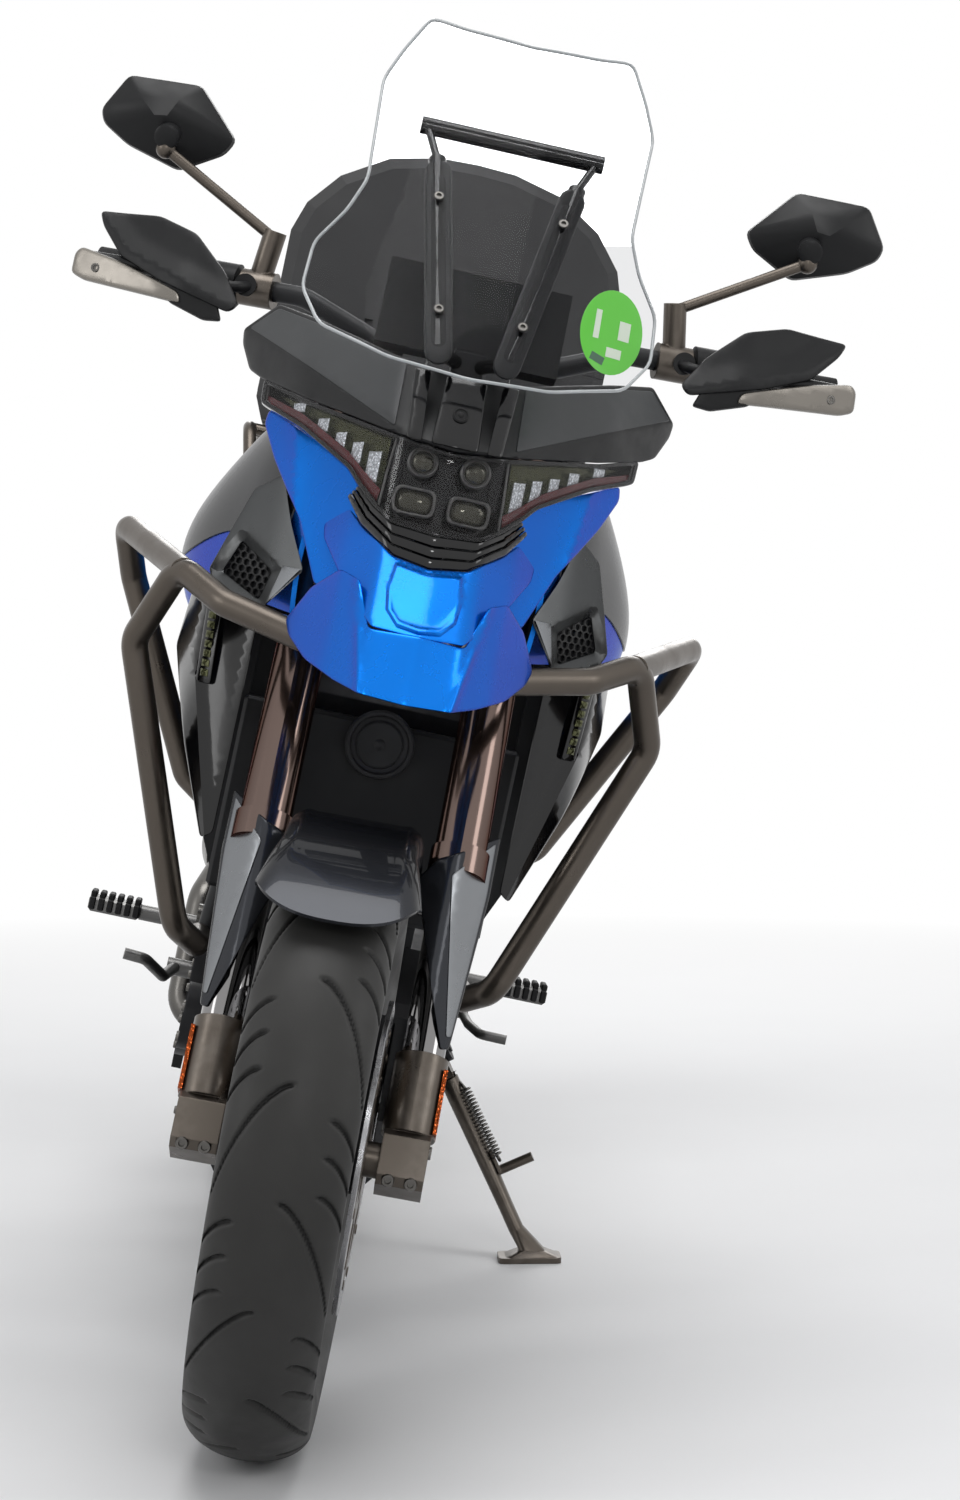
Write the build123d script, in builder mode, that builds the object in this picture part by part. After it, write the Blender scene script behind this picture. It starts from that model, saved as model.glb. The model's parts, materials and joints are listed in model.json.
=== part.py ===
"""Adventure motorcycle, parked leaning on its side stand.

The machine is modelled upright: +X forward from the middle of the wheelbase, +Y to the rider's left,
+Z up from the ground. At the end the steered pieces turn to the parked steering angle, every piece
leans over onto the side stand, and the whole is moved so that the origin is the middle of the
footprint at ground level. Lengths are millimetres and angles are degrees.
"""
from build123d import *
from math import cos, radians, sin, sqrt, tan
import os

# ---------------------------------------------------------------- stance
WHEELBASE = 1505.0
RAKE = 25.5
TRAIL = 105.0
LEAN = 12.04
PARKED_STEER = 4.64

# ---------------------------------------------------------------- wheels
FRONT_RADIUS = 300.0
FRONT_WIDTH = 120.0
FRONT_RIM_WIDTH = 90.0
REAR_RADIUS = 312.0
REAR_WIDTH = 160.0
REAR_RIM_WIDTH = 118.0
BEAD_RADIUS = 216.0
RIM_FLANGE = 10.0
RIM_WALL = 6.0
RIM_WELL = 24.0
SPOKES = 5
SPOKE_WIDTH = 20.0
SPOKE_THICKNESS = 22.0
AXLE_RADIUS = 12.5
FRONT_AXLE_BORE = 8.0
REAR_AXLE_BORE = 7.0
RUNNING_GAP = 0.05
HUB_RADIUS = 36.0
FRONT_DISC_OFFSET = 62.0
REAR_DISC_OFFSET = 72.0
DISC_THICKNESS = 5.0
DISC_BAND = 32.0
FRONT_DISC_RADIUS = 155.0
REAR_DISC_RADIUS = 120.0
DISC_ARM_WIDTH = 16.0
SPROCKET_RADIUS = 105.0
SPROCKET_OFFSET = 96.0
SPROCKET_THICKNESS = 7.0
SPROCKET_TEETH = 42
CHAIN_ROLLER = 4.0
CARRIER_RADIUS = 62.0

# ---------------------------------------------------------------- fork and steering
FORK_SPACING = 200.0
FORK_UPPER_RADIUS = 26.5
FORK_TUBE_RADIUS = 21.5
SEAL_RADIUS = 30.0
SEAL_HEIGHT = 597.0
SEAL_LENGTH = 26.0
FORK_TOP = 1056.0
CLAMP_THICKNESS = 26.0
UPPER_CLAMP_HEIGHT = 1020.0
LOWER_CLAMP_HEIGHT = 872.0
CLAMP_WALL = 12.0
STEM_RADIUS = 14.0
HEAD_TUBE_RADIUS = 30.0
HEAD_GAP = 1.0
FOOT_TOP = 398.0
FOOT_DEPTH = 56.0
FOOT_WIDTH = 46.0
FENDER_GAP = 18.0
FENDER_WALL = 4.0
FENDER_HALF_WIDTH = 66.0
FENDER_SKIRT = 34.0
FENDER_FRONT_ANGLE = 53.0
FENDER_BACK_ANGLE = 120.0
GUARD_TIP = 412.0
REFLECTOR = (26.0, 4.0, 66.0)
CALIPER_SIZE = (74.0, 50.0, 110.0)
BAR_RADIUS = 11.0
GRIP_RADIUS = 16.0
GRIP_LENGTH = 122.0
LEVER_RADIUS = 6.0

# ---------------------------------------------------------------- chassis
PIVOT_X = -150.0
PIVOT_HEIGHT = 400.0
PIVOT_RADIUS = 14.0
ARM_INNER = 112.0
ARM_WIDTH = 24.0
PLATE_GAP = 2.0
PLATE_THICKNESS = 12.0
SPAR_RADIUS = 19.0
RAIL_RADIUS = 12.5
ENGINE_HALF_WIDTH = 125.0
CRASH_BAR_RADIUS = 14.0
CHAIN_WIDTH = 14.0
CHAIN_HEIGHT = 12.0
CHAIN_GAP = 1.0
FRONT_SPROCKET_RADIUS = 38.0
SCREEN_WALL = 4.0
PANEL_WALL = 4.0
CASE_WALL = 4.0
SEAM_GAP = 0.6

# ---------------------------------------------------------------- side stand
STAND_PIVOT = (-150.0, 172.0, 292.0)
STAND_FOOT_X = -90.0
STAND_FOOT_Y = 358.0
STAND_FOLDED = (-0.97, 0.2, -0.1)
STAND_LEG_RADIUS = 13.0
STAND_PAD = (46.0, 78.0, 7.0)

front_axle = Vector(WHEELBASE / 2, 0, FRONT_RADIUS)
fork_up = Vector(-sin(radians(RAKE)), 0, cos(radians(RAKE)))
fork_forward = Vector(cos(radians(RAKE)), 0, sin(radians(RAKE)))
steer_foot = Vector(WHEELBASE / 2 + TRAIL, 0, 0)


def parked(point, steered=False, direction=False):
    """Where a point or a direction of the upright machine goes as the machine is turned and leaned."""
    base = Vector(0, 0, 0) if direction else steer_foot
    if steered:
        point = (point - base).rotate(Axis((0, 0, 0), fork_up), -PARKED_STEER) + base
    return point.rotate(Axis.X, -LEAN)


def resting_height(radius, width, tilt):
    """Height of a leaning wheel's axle above the ground it stands on, with a round crown."""
    return (radius - width / 2) * tilt + width / 2


# the front tyre sets how far the leaning machine rises, and the rear axle's height follows
front_tilt = sqrt(1 - parked(Vector(0, 1, 0), steered=True, direction=True).Z ** 2)
lift = resting_height(FRONT_RADIUS, FRONT_WIDTH, front_tilt) - parked(front_axle, steered=True).Z
rear_axle_height = (resting_height(REAR_RADIUS, REAR_WIDTH, cos(radians(LEAN))) - lift) / cos(radians(LEAN))


def steer_x(height):
    """Where the steering axis is at a height above the ground."""
    return steer_foot.X - height * tan(radians(RAKE))


def fork_x(height):
    """Where the line of the fork legs is at a height above the ground."""
    return WHEELBASE / 2 - (height - FRONT_RADIUS) * tan(radians(RAKE))


def mirrored(half):
    """A whole outline from its left half, which runs from the centre line to the centre line."""
    return half + [(-y, z) for y, z in reversed(half) if y > 0]


def front_prism(outline, back, front):
    """A solid with the given outline seen from the front, between two stations."""
    with BuildPart() as prism:
        with BuildSketch(Plane.YZ.offset(back)):
            with BuildLine():
                Polyline(*outline, close=True)
            make_face()
        extrude(amount=front - back)
    return prism.part


def side_prism(outline, right, left):
    """A solid with the given outline seen from the side, between two offsets from the centre plane."""
    with BuildPart() as prism:
        with BuildSketch(Plane.XZ.offset(-left)):
            with BuildLine():
                Polyline(*outline, close=True)
            make_face()
        extrude(amount=left - right)
    return prism.part


def leaning_wall(plan, wall, low, high, slope):
    """A folded wall: its front edge follows a plan line at its lowest height and leans as it rises."""
    inner = [(x - wall, y) for x, y in reversed(plan)]
    travel = Vector(slope, 0, 1) * (high - low)
    with BuildPart() as shell:
        with BuildSketch(Plane.XY.offset(low)):
            with BuildLine():
                Polyline(*plan, *inner, close=True)
            make_face()
        extrude(amount=travel.length, dir=travel.normalized())
    return shell.part


def both_sides(plan):
    """A plan line from the right side to the left, from its left half."""
    return [(x, -y) for x, y in reversed(plan) if y > 0] + plan


def panel(plan, wall, outline, slope, across=True):
    """A wall trimmed to an outline seen from the front."""
    heights = [z for y, z in outline]
    reach = (max(heights) - min(heights)) * abs(slope) + wall
    stations = [x for x, y in plan]
    sheet = leaning_wall(both_sides(plan) if across else plan, wall, min(heights), max(heights), slope)
    trim = front_prism(
        mirrored(outline) if across else outline, min(stations) - reach - 1, max(stations) + reach + 1
    )
    return sheet & trim


def bar(points, radius, bend, bore=0.0):
    """A round bar or tube along straight runs joined by arcs."""
    with BuildPart() as tube:
        with BuildLine() as route:
            if len(points) > 2:
                FilletPolyline(*points, radius=bend)
            else:
                Line(*points)
        with BuildSketch(Plane(origin=route.line @ 0, z_dir=route.line % 0)):
            Circle(radius)
            if bore:
                Circle(bore, mode=Mode.SUBTRACT)
        sweep(path=route.line)
    return tube.part


def rod(start, end, radius, bore=0.0):
    """A straight round bar or tube between two points."""
    along = Vector(*end) - Vector(*start)
    with BuildPart() as shaft:
        with BuildSketch(Plane(origin=start, z_dir=along)):
            Circle(radius)
            if bore:
                Circle(bore, mode=Mode.SUBTRACT)
        extrude(amount=along.length)
    return shaft.part


def block(low, high, edge=0.0):
    """A box between two corners, with its edges chamfered."""
    size = [high[i] - low[i] for i in range(3)]
    middle = [(high[i] + low[i]) / 2 for i in range(3)]
    with BuildPart() as body:
        with Locations(tuple(middle)):
            Box(*size)
        if edge:
            chamfer(body.edges(), length=edge)
    return body.part


def pair(piece):
    """A piece and its mirror image on the other side."""
    with BuildPart() as both:
        add(piece)
        mirror(about=Plane.XZ)
    return both.part


def joined(*pieces, minus=()):
    """Pieces fused into one, less the given cutters."""
    with BuildPart() as whole:
        for piece in pieces:
            add(piece)
        for cutter in minus:
            add(cutter, mode=Mode.SUBTRACT)
    return whole.part


# ================================================================ wheels
def tyre(axle, radius, width, rim_width):
    """A tyre with a round crown, seated on the rim's beads."""
    crown = width / 2
    bead = rim_width / 2
    with BuildPart() as carcass:
        with BuildSketch(Plane(origin=axle, x_dir=(0, 1, 0), z_dir=(1, 0, 0))):
            with BuildLine():
                ThreePointArc((-crown, radius - crown), (0, radius), (crown, radius - crown))
                Polyline(
                    (crown, radius - crown),
                    (bead, BEAD_RADIUS + RIM_FLANGE + RUNNING_GAP),
                    (bead - RIM_WALL, BEAD_RADIUS + RIM_FLANGE + RUNNING_GAP),
                    (bead - RIM_WALL, BEAD_RADIUS),
                    (RIM_WALL - bead, BEAD_RADIUS),
                    (RIM_WALL - bead, BEAD_RADIUS + RIM_FLANGE + RUNNING_GAP),
                    (-bead, BEAD_RADIUS + RIM_FLANGE + RUNNING_GAP),
                    (-crown, radius - crown),
                )
            make_face()
        revolve(axis=Axis(axle, (0, 1, 0)))
    return carcass.part


def wheel(axle, rim_width, hub_right, hub_left):
    """A cast wheel: a dropped-centre rim, paired spokes and a bored hub."""
    bead = rim_width / 2
    seat = BEAD_RADIUS - RUNNING_GAP
    well = seat - RIM_WELL
    with BuildPart() as casting:
        with BuildSketch(Plane(origin=axle, x_dir=(0, 1, 0), z_dir=(1, 0, 0))):
            with BuildLine():
                Polyline(
                    (-bead, seat + RIM_FLANGE),
                    (RIM_WALL - bead - RUNNING_GAP, seat + RIM_FLANGE),
                    (RIM_WALL - bead - RUNNING_GAP, seat),
                    (-bead / 3, seat),
                    (-bead / 4, well + RIM_WALL),
                    (bead / 4, well + RIM_WALL),
                    (bead / 3, seat),
                    (bead - RIM_WALL + RUNNING_GAP, seat),
                    (bead - RIM_WALL + RUNNING_GAP, seat + RIM_FLANGE),
                    (bead, seat + RIM_FLANGE),
                    (bead, seat - RIM_WALL),
                    (bead / 2, seat - RIM_WALL),
                    (bead / 3, well),
                    (-bead / 3, well),
                    (-bead / 2, seat - RIM_WALL),
                    (-bead, seat - RIM_WALL),
                    close=True,
                )
            make_face()
        revolve(axis=Axis(axle, (0, 1, 0)))
        with BuildSketch(Plane(origin=axle, x_dir=(1, 0, 0), z_dir=(0, -1, 0)).offset(-hub_left)):
            Circle(HUB_RADIUS)
        extrude(amount=hub_left - hub_right)
        reach = well + RIM_WALL / 2
        for turn in range(SPOKES):
            for side in (-1, 1):
                splay = side * SPOKE_WIDTH
                spoke_plane = Plane(origin=axle, x_dir=(1, 0, 0), z_dir=(0, -1, 0)).rotated(
                    (0, 360.0 * turn / SPOKES, 0)
                )
                with BuildSketch(spoke_plane.offset(-SPOKE_THICKNESS / 2)):
                    with BuildLine():
                        Polyline(
                            (HUB_RADIUS * 0.7, splay * 0.9),
                            (reach, splay * 2.6),
                            (reach, splay * 1.8),
                            (HUB_RADIUS * 0.7, splay * 0.1),
                            close=True,
                        )
                    make_face()
                extrude(amount=SPOKE_THICKNESS)
        with BuildSketch(Plane(origin=axle, x_dir=(1, 0, 0), z_dir=(0, -1, 0)).offset(-hub_left - 1)):
            Circle(AXLE_RADIUS + RUNNING_GAP)
        extrude(amount=hub_left - hub_right + 2, mode=Mode.SUBTRACT)
    return casting.part


def brake_disc(axle, middle, radius):
    """A brake disc on a carrier with arms, bored for the hub."""
    face = Plane(origin=axle, x_dir=(1, 0, 0), z_dir=(0, -1, 0)).offset(-middle - DISC_THICKNESS / 2)
    with BuildPart() as disc:
        with BuildSketch(face):
            Circle(radius)
            Circle(radius - DISC_BAND, mode=Mode.SUBTRACT)
            with PolarLocations((radius - DISC_BAND + HUB_RADIUS) / 2, SPOKES):
                Rectangle(radius - DISC_BAND - HUB_RADIUS + 12, DISC_ARM_WIDTH)
            Circle(HUB_RADIUS)
            Circle(AXLE_RADIUS + 8, mode=Mode.SUBTRACT)
        extrude(amount=DISC_THICKNESS)
    return disc.part


front_hub_end = FRONT_DISC_OFFSET - DISC_THICKNESS / 2
front_tyre = tyre(front_axle, FRONT_RADIUS, FRONT_WIDTH, FRONT_RIM_WIDTH)
front_rim = wheel(front_axle, FRONT_RIM_WIDTH, -front_hub_end, front_hub_end)
front_discs = pair(brake_disc(front_axle, FRONT_DISC_OFFSET, FRONT_DISC_RADIUS))

rear_axle = Vector(-WHEELBASE / 2, 0, rear_axle_height)
rear_tyre = tyre(rear_axle, REAR_RADIUS, REAR_WIDTH, REAR_RIM_WIDTH)
rear_rim = wheel(rear_axle, REAR_RIM_WIDTH, DISC_THICKNESS / 2 - REAR_DISC_OFFSET, CARRIER_RADIUS)
rear_disc = brake_disc(rear_axle, -REAR_DISC_OFFSET, REAR_DISC_RADIUS)

side_plane = Plane(origin=rear_axle, x_dir=(1, 0, 0), z_dir=(0, -1, 0))
with BuildPart() as sprocket:
    with BuildSketch(side_plane.offset(-SPROCKET_OFFSET - SPROCKET_THICKNESS / 2)):
        Circle(SPROCKET_RADIUS)
        with PolarLocations(SPROCKET_RADIUS, SPROCKET_TEETH):
            Circle(CHAIN_ROLLER, mode=Mode.SUBTRACT)
        Circle(AXLE_RADIUS + 8, mode=Mode.SUBTRACT)
    extrude(amount=SPROCKET_THICKNESS)
    with BuildSketch(side_plane.offset(-SPROCKET_OFFSET + SPROCKET_THICKNESS / 2)):
        Circle(CARRIER_RADIUS - 8)
        Circle(AXLE_RADIUS + 8, mode=Mode.SUBTRACT)
    extrude(amount=SPROCKET_OFFSET - SPROCKET_THICKNESS / 2 - CARRIER_RADIUS)

# ================================================================ fork and steering
FORK_SIDE = FORK_SPACING / 2
fork_base = Plane(origin=front_axle, x_dir=fork_forward, z_dir=fork_up)
fork_offset = (front_axle.X - steer_x(FRONT_RADIUS)) * cos(radians(RAKE))


def along_fork(height):
    """Distance from the axle up the fork to a height above the ground."""
    return (height - FRONT_RADIUS) / cos(radians(RAKE))


def fork_round(low, high, radius, forward=0.0, side=None, bore=0.0):
    """A round solid parallel to the fork between two heights."""
    with BuildPart() as solid:
        with BuildSketch(fork_base.offset(along_fork(low))):
            with Locations((forward, FORK_SIDE if side is None else side)):
                Circle(radius)
                if bore:
                    Circle(bore, mode=Mode.SUBTRACT)
        extrude(amount=along_fork(high) - along_fork(low))
    return solid.part


fork_leg = joined(
    fork_round(SEAL_HEIGHT, FORK_TOP, FORK_UPPER_RADIUS),
    fork_round(SEAL_HEIGHT - SEAL_LENGTH, SEAL_HEIGHT, SEAL_RADIUS, bore=FORK_TUBE_RADIUS),
)
fork_uppers = pair(fork_leg)
fork_tubes = pair(fork_round(FOOT_TOP, SEAL_HEIGHT, FORK_TUBE_RADIUS))

axle_bore = rod(
    (front_axle.X, -FORK_SPACING, FRONT_RADIUS), (front_axle.X, FORK_SPACING, FRONT_RADIUS), AXLE_RADIUS
)
foot_drop = FOOT_DEPTH / 2
with BuildPart() as foot:
    with BuildSketch(fork_base.offset(-foot_drop)):
        with Locations((0, FORK_SIDE)):
            Rectangle(FOOT_DEPTH, FOOT_WIDTH)
    extrude(amount=2 * foot_drop)
    chamfer(foot.edges().filter_by(Axis.Y), length=FOOT_DEPTH / 7)
    with BuildSketch(fork_base.offset(foot_drop)):
        with Locations((0, FORK_SIDE)):
            Circle(FORK_TUBE_RADIUS + 5)
    extrude(amount=along_fork(FOOT_TOP) - foot_drop)
    add(axle_bore, mode=Mode.SUBTRACT)
foot_inner = FORK_SIDE - FOOT_WIDTH / 2
foot_outer = FORK_SIDE + FOOT_WIDTH / 2
axle_shaft = rod(
    (front_axle.X, -foot_outer, FRONT_RADIUS),
    (front_axle.X, foot_outer, FRONT_RADIUS),
    AXLE_RADIUS,
    bore=FRONT_AXLE_BORE,
)
axle_collar = rod(
    (front_axle.X, front_hub_end + SEAM_GAP, FRONT_RADIUS),
    (front_axle.X, foot_inner, FRONT_RADIUS),
    AXLE_RADIUS + 5,
    bore=AXLE_RADIUS - 1,
)
fork_feet = joined(pair(foot.part), axle_shaft, pair(axle_collar))

with BuildPart() as reflector:
    with BuildSketch(fork_base.offset(along_fork(328.0))):
        with Locations((4.0, foot_outer + REFLECTOR[1] / 2)):
            Rectangle(REFLECTOR[0], REFLECTOR[1])
    extrude(amount=REFLECTOR[2])
with BuildPart() as reflector_bracket:
    with BuildSketch(fork_base.offset(along_fork(328.0))):
        with Locations((4.0, (FORK_SIDE + FORK_TUBE_RADIUS + 4 + foot_outer) / 2)):
            Rectangle(REFLECTOR[0] - 6, foot_outer - FORK_SIDE - FORK_TUBE_RADIUS - 4)
    extrude(amount=REFLECTOR[2])
fork_reflectors = pair(joined(reflector.part, reflector_bracket.part, minus=[fork_feet]))

# brake calipers straddle the discs behind the legs
caliper_plane = Plane(
    origin=front_axle + Vector(0, FRONT_DISC_OFFSET + 4, 0), x_dir=(1, 0, 0), z_dir=(0, -1, 0)
)
with BuildPart() as caliper:
    with BuildSketch(caliper_plane.offset(-CALIPER_SIZE[1] / 2)):
        with Locations((-116.0, 60.0)):
            Rectangle(CALIPER_SIZE[0], CALIPER_SIZE[2], rotation=28)
    extrude(amount=CALIPER_SIZE[1])
    with BuildSketch(caliper_plane.offset(4 - DISC_THICKNESS / 2 - 2)):
        Circle(FRONT_DISC_RADIUS + 5)
    extrude(amount=DISC_THICKNESS + 4, mode=Mode.SUBTRACT)
caliper_bracket = block((676.0, FORK_SIDE - 21, 336.0), (716.0, FRONT_DISC_OFFSET + 29, 392.0))
front_calipers = pair(joined(caliper.part, caliper_bracket, minus=[fork_feet, fork_tubes]))

# fender over the front tyre, with guards down the inner tubes
arch = FRONT_RADIUS + FENDER_GAP
fender_start = Vector(cos(radians(FENDER_BACK_ANGLE)), 0, sin(radians(FENDER_BACK_ANGLE)))
with BuildPart() as fender:
    with BuildSketch(
        Plane(origin=front_axle, x_dir=(0, 1, 0), z_dir=Vector(0, 1, 0).cross(fender_start))
    ):
        with BuildLine():
            Polyline(
                (-FENDER_HALF_WIDTH, arch - FENDER_SKIRT),
                (-FENDER_HALF_WIDTH, arch - FENDER_SKIRT / 4),
                (-FENDER_HALF_WIDTH * 0.7, arch + FENDER_WALL),
                (FENDER_HALF_WIDTH * 0.7, arch + FENDER_WALL),
                (FENDER_HALF_WIDTH, arch - FENDER_SKIRT / 4),
                (FENDER_HALF_WIDTH, arch - FENDER_SKIRT),
                (FENDER_HALF_WIDTH - FENDER_WALL, arch - FENDER_SKIRT),
                (FENDER_HALF_WIDTH - FENDER_WALL, arch - FENDER_SKIRT / 3),
                (FENDER_HALF_WIDTH * 0.66, arch),
                (-FENDER_HALF_WIDTH * 0.66, arch),
                (FENDER_WALL - FENDER_HALF_WIDTH, arch - FENDER_SKIRT / 3),
                (FENDER_WALL - FENDER_HALF_WIDTH, arch - FENDER_SKIRT),
                close=True,
            )
        make_face()
    revolve(
        axis=Axis(front_axle, (0, 1, 0)), revolution_arc=FENDER_BACK_ANGLE - FENDER_FRONT_ANGLE
    )
GUARD_ROOT_DROP = 34.0
guard_front = fork_x(GUARD_TIP) + FORK_UPPER_RADIUS + 18.0
guard_side = FORK_SIDE + SEAL_RADIUS + PANEL_WALL + 3.0
guard_plan = [(guard_front - 26, FENDER_HALF_WIDTH - 4), (guard_front, FORK_SIDE - 4), (guard_front - 52, guard_side)]
guard_outline = [
    (FENDER_HALF_WIDTH - 4, 2 * FRONT_RADIUS - GUARD_ROOT_DROP),
    (FORK_SIDE - 20, SEAL_HEIGHT - 7),
    (guard_side, SEAL_HEIGHT + 21),
    (guard_side, SEAL_HEIGHT - 37),
    (FORK_SIDE + 24, GUARD_TIP),
    (FORK_SIDE + 16, GUARD_TIP),
]
fork_guard = panel(guard_plan, PANEL_WALL, guard_outline, -tan(radians(RAKE)), across=False)
front_fender = joined(fender.part, pair(fork_guard), minus=[fork_uppers, fork_tubes])


def clamp_plate(height):
    """A yoke that holds both legs and the stem, at a height up the fork."""
    with BuildPart() as yoke:
        with BuildSketch(fork_base.offset(along_fork(height))) as outline:
            with Locations((0, FORK_SIDE), (0, -FORK_SIDE), (-fork_offset, 0)):
                Circle(FORK_UPPER_RADIUS + CLAMP_WALL)
            make_hull()
            with Locations((0, FORK_SIDE), (0, -FORK_SIDE)):
                Circle(FORK_UPPER_RADIUS, mode=Mode.SUBTRACT)
        extrude(amount=CLAMP_THICKNESS)
    return yoke.part


stem = fork_round(
    LOWER_CLAMP_HEIGHT, UPPER_CLAMP_HEIGHT + CLAMP_THICKNESS / 2, STEM_RADIUS, forward=-fork_offset, side=0
)
triple_clamps = joined(clamp_plate(LOWER_CLAMP_HEIGHT), clamp_plate(UPPER_CLAMP_HEIGHT), stem)

# bars, controls, mirrors and guards: their points are given for an upper yoke at this height
BAR_YOKE_HEIGHT = 1020.0
bar_shift = Vector(
    steer_x(UPPER_CLAMP_HEIGHT) - steer_x(BAR_YOKE_HEIGHT), 0, UPPER_CLAMP_HEIGHT - BAR_YOKE_HEIGHT
)


def with_yoke(part):
    """A piece of the bars, moved to where the upper yoke is."""
    return part.moved(Location(bar_shift))


# handlebar: columns are forward, left and up, from the middle to the left end
BAR_POINTS = [(352.0, 0.0, 1108.0), (352.0, 92.0, 1108.0), (342.0, 178.0, 1142.0), (294.0, 412.0, 1146.0)]
BAR_BEND = 60.0
bar_end = Vector(*BAR_POINTS[-1])
bar_elbow = Vector(*BAR_POINTS[-2])
grip_line = (bar_end - bar_elbow).normalized()
half_bar = bar(BAR_POINTS, BAR_RADIUS, BAR_BEND)
RISER_SIDE = 46.0
riser_plane = fork_base.offset(along_fork(UPPER_CLAMP_HEIGHT) + CLAMP_THICKNESS)
with BuildPart() as risers:
    with BuildSketch(riser_plane):
        riser_spot = riser_plane.to_local_coords(Vector(*BAR_POINTS[0]) + bar_shift)
        with Locations((riser_spot.X, RISER_SIDE), (riser_spot.X, -RISER_SIDE)):
            Rectangle(34, 26)
    extrude(amount=riser_spot.Z + BAR_RADIUS + 8)
handlebar = joined(with_yoke(pair(half_bar)), risers.part)


def on_grip(start, end, radius, bore=BAR_RADIUS + RUNNING_GAP):
    """A round sleeve on the grip, between two distances in from the bar's end."""
    return rod(bar_end - grip_line * end, bar_end - grip_line * start, radius, bore)


grips = with_yoke(pair(on_grip(2.0, GRIP_LENGTH, GRIP_RADIUS)))
BAR_WEIGHT = 20.0
bar_weight = rod(bar_end + grip_line * RUNNING_GAP, bar_end + grip_line * BAR_WEIGHT, GRIP_RADIUS - 2)
switch_box = on_grip(GRIP_LENGTH + 2, GRIP_LENGTH + 42, GRIP_RADIUS + 7)
mirror_clamp = on_grip(GRIP_LENGTH + 46, GRIP_LENGTH + 84, GRIP_RADIUS + 4)

# levers pivot in the clamps ahead of the bar and run outward in front of the grips
lever_root = bar_end - grip_line * (GRIP_LENGTH + 52)
lever_points = [
    lever_root + Vector(16, -6, 0),
    lever_root + Vector(40, 8, -6),
    lever_root + Vector(22, 90, -8),
    lever_root + Vector(4, 160, -8),
]
lever = bar([tuple(p) for p in lever_points], LEVER_RADIUS, 14.0)
lever_perch = rod(lever_root, lever_root + Vector(26, 0, 0), 12.0)
bar_controls = with_yoke(pair(joined(switch_box, lever, lever_perch, minus=[mirror_clamp, half_bar])))

# mirrors: front outline of the left shell as left and up
MIRROR_OUTLINE = [
    (435.0, 1309.0),
    (411.0, 1350.0),
    (331.0, 1352.0),
    (284.0, 1300.0),
    (294.0, 1283.0),
    (341.0, 1257.0),
    (400.0, 1275.0),
    (430.0, 1294.0),
]
MIRROR_BACK = 300.0
MIRROR_DEPTH = 46.0
MIRROR_CENTRE = (366.0, 1305.0)
GLASS_THICKNESS = 3.0


def scaled(outline, centre, factor):
    """An outline drawn in towards a centre."""
    return [(centre[0] + (y - centre[0]) * factor, centre[1] + (z - centre[1]) * factor) for y, z in outline]


with BuildPart() as mirror_shell:
    with BuildSketch(Plane.YZ.offset(MIRROR_BACK)):
        with BuildLine():
            Polyline(*MIRROR_OUTLINE, close=True)
        make_face()
    with BuildSketch(Plane.YZ.offset(MIRROR_BACK + MIRROR_DEPTH * 0.4)):
        with BuildLine():
            Polyline(*scaled(MIRROR_OUTLINE, MIRROR_CENTRE, 0.93), close=True)
        make_face()
    with BuildSketch(Plane.YZ.offset(MIRROR_BACK + MIRROR_DEPTH)):
        with BuildLine():
            Polyline(*scaled(MIRROR_OUTLINE, MIRROR_CENTRE, 0.5), close=True)
        make_face()
    loft(ruled=True)
mirror_shells = with_yoke(pair(mirror_shell.part))
with BuildPart() as glass:
    with BuildSketch(Plane.YZ.offset(MIRROR_BACK - GLASS_THICKNESS)):
        with BuildLine():
            Polyline(*scaled(MIRROR_OUTLINE, MIRROR_CENTRE, 0.92), close=True)
        make_face()
    extrude(amount=GLASS_THICKNESS)
mirror_glasses = with_yoke(pair(glass.part))

clamp_middle = bar_end - grip_line * (GRIP_LENGTH + 65)
post_top = Vector(clamp_middle.X + 4, clamp_middle.Y - 8, 1207.0)
mirror_ball = Vector(338.0, 354.0, 1274.0)
mirror_post = rod(clamp_middle + Vector(0, 0, 12), post_top, 12.5)
mirror_rod = rod(post_top - Vector(0, 0, 8), mirror_ball, 6.0)
with BuildPart() as ball:
    with Locations(tuple(mirror_ball)):
        Sphere(11)
mirror_stem = joined(mirror_clamp, mirror_post, mirror_rod, ball.part, minus=[mirror_shell.part, half_bar])
mirror_stems = with_yoke(pair(mirror_stem))

# hand guards, and the arms that carry them from the bar's ends
HAND_GUARD_PLAN = [(400.0, 238.0), (402.0, 300.0), (362.0, 416.0)]
HAND_GUARD_OUTLINE = [
    (240.0, 1116.0),
    (262.0, 1150.0),
    (300.0, 1186.0),
    (345.0, 1200.0),
    (413.0, 1196.0),
    (406.0, 1180.0),
    (379.0, 1149.0),
    (330.0, 1128.0),
    (250.0, 1106.0),
]
GUARD_SLOPE = -0.35
hand_guard = panel(HAND_GUARD_PLAN, PANEL_WALL, HAND_GUARD_OUTLINE, GUARD_SLOPE, across=False)
ARM_PLAN = [(402.0, 262.0), (390.0, 330.0), (344.0, 432.0)]
ARM_OUTLINE = [(262.0, 1104.0), (262.0, 1118.0), (330.0, 1124.0), (390.0, 1148.0), (430.0, 1158.0), (432.0, 1132.0), (380.0, 1122.0), (320.0, 1104.0)]
guard_arm = panel(ARM_PLAN, 12.0, ARM_OUTLINE, 0.0, across=False)
arm_tip = Vector(336.0, 424.0, 1146.0)
arm_post = rod(bar_end + grip_line * 11, arm_tip, 8.0)
guard_arms = with_yoke(pair(joined(guard_arm, bar_weight, arm_post, minus=[hand_guard])))
hand_guards = with_yoke(pair(hand_guard))

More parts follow.
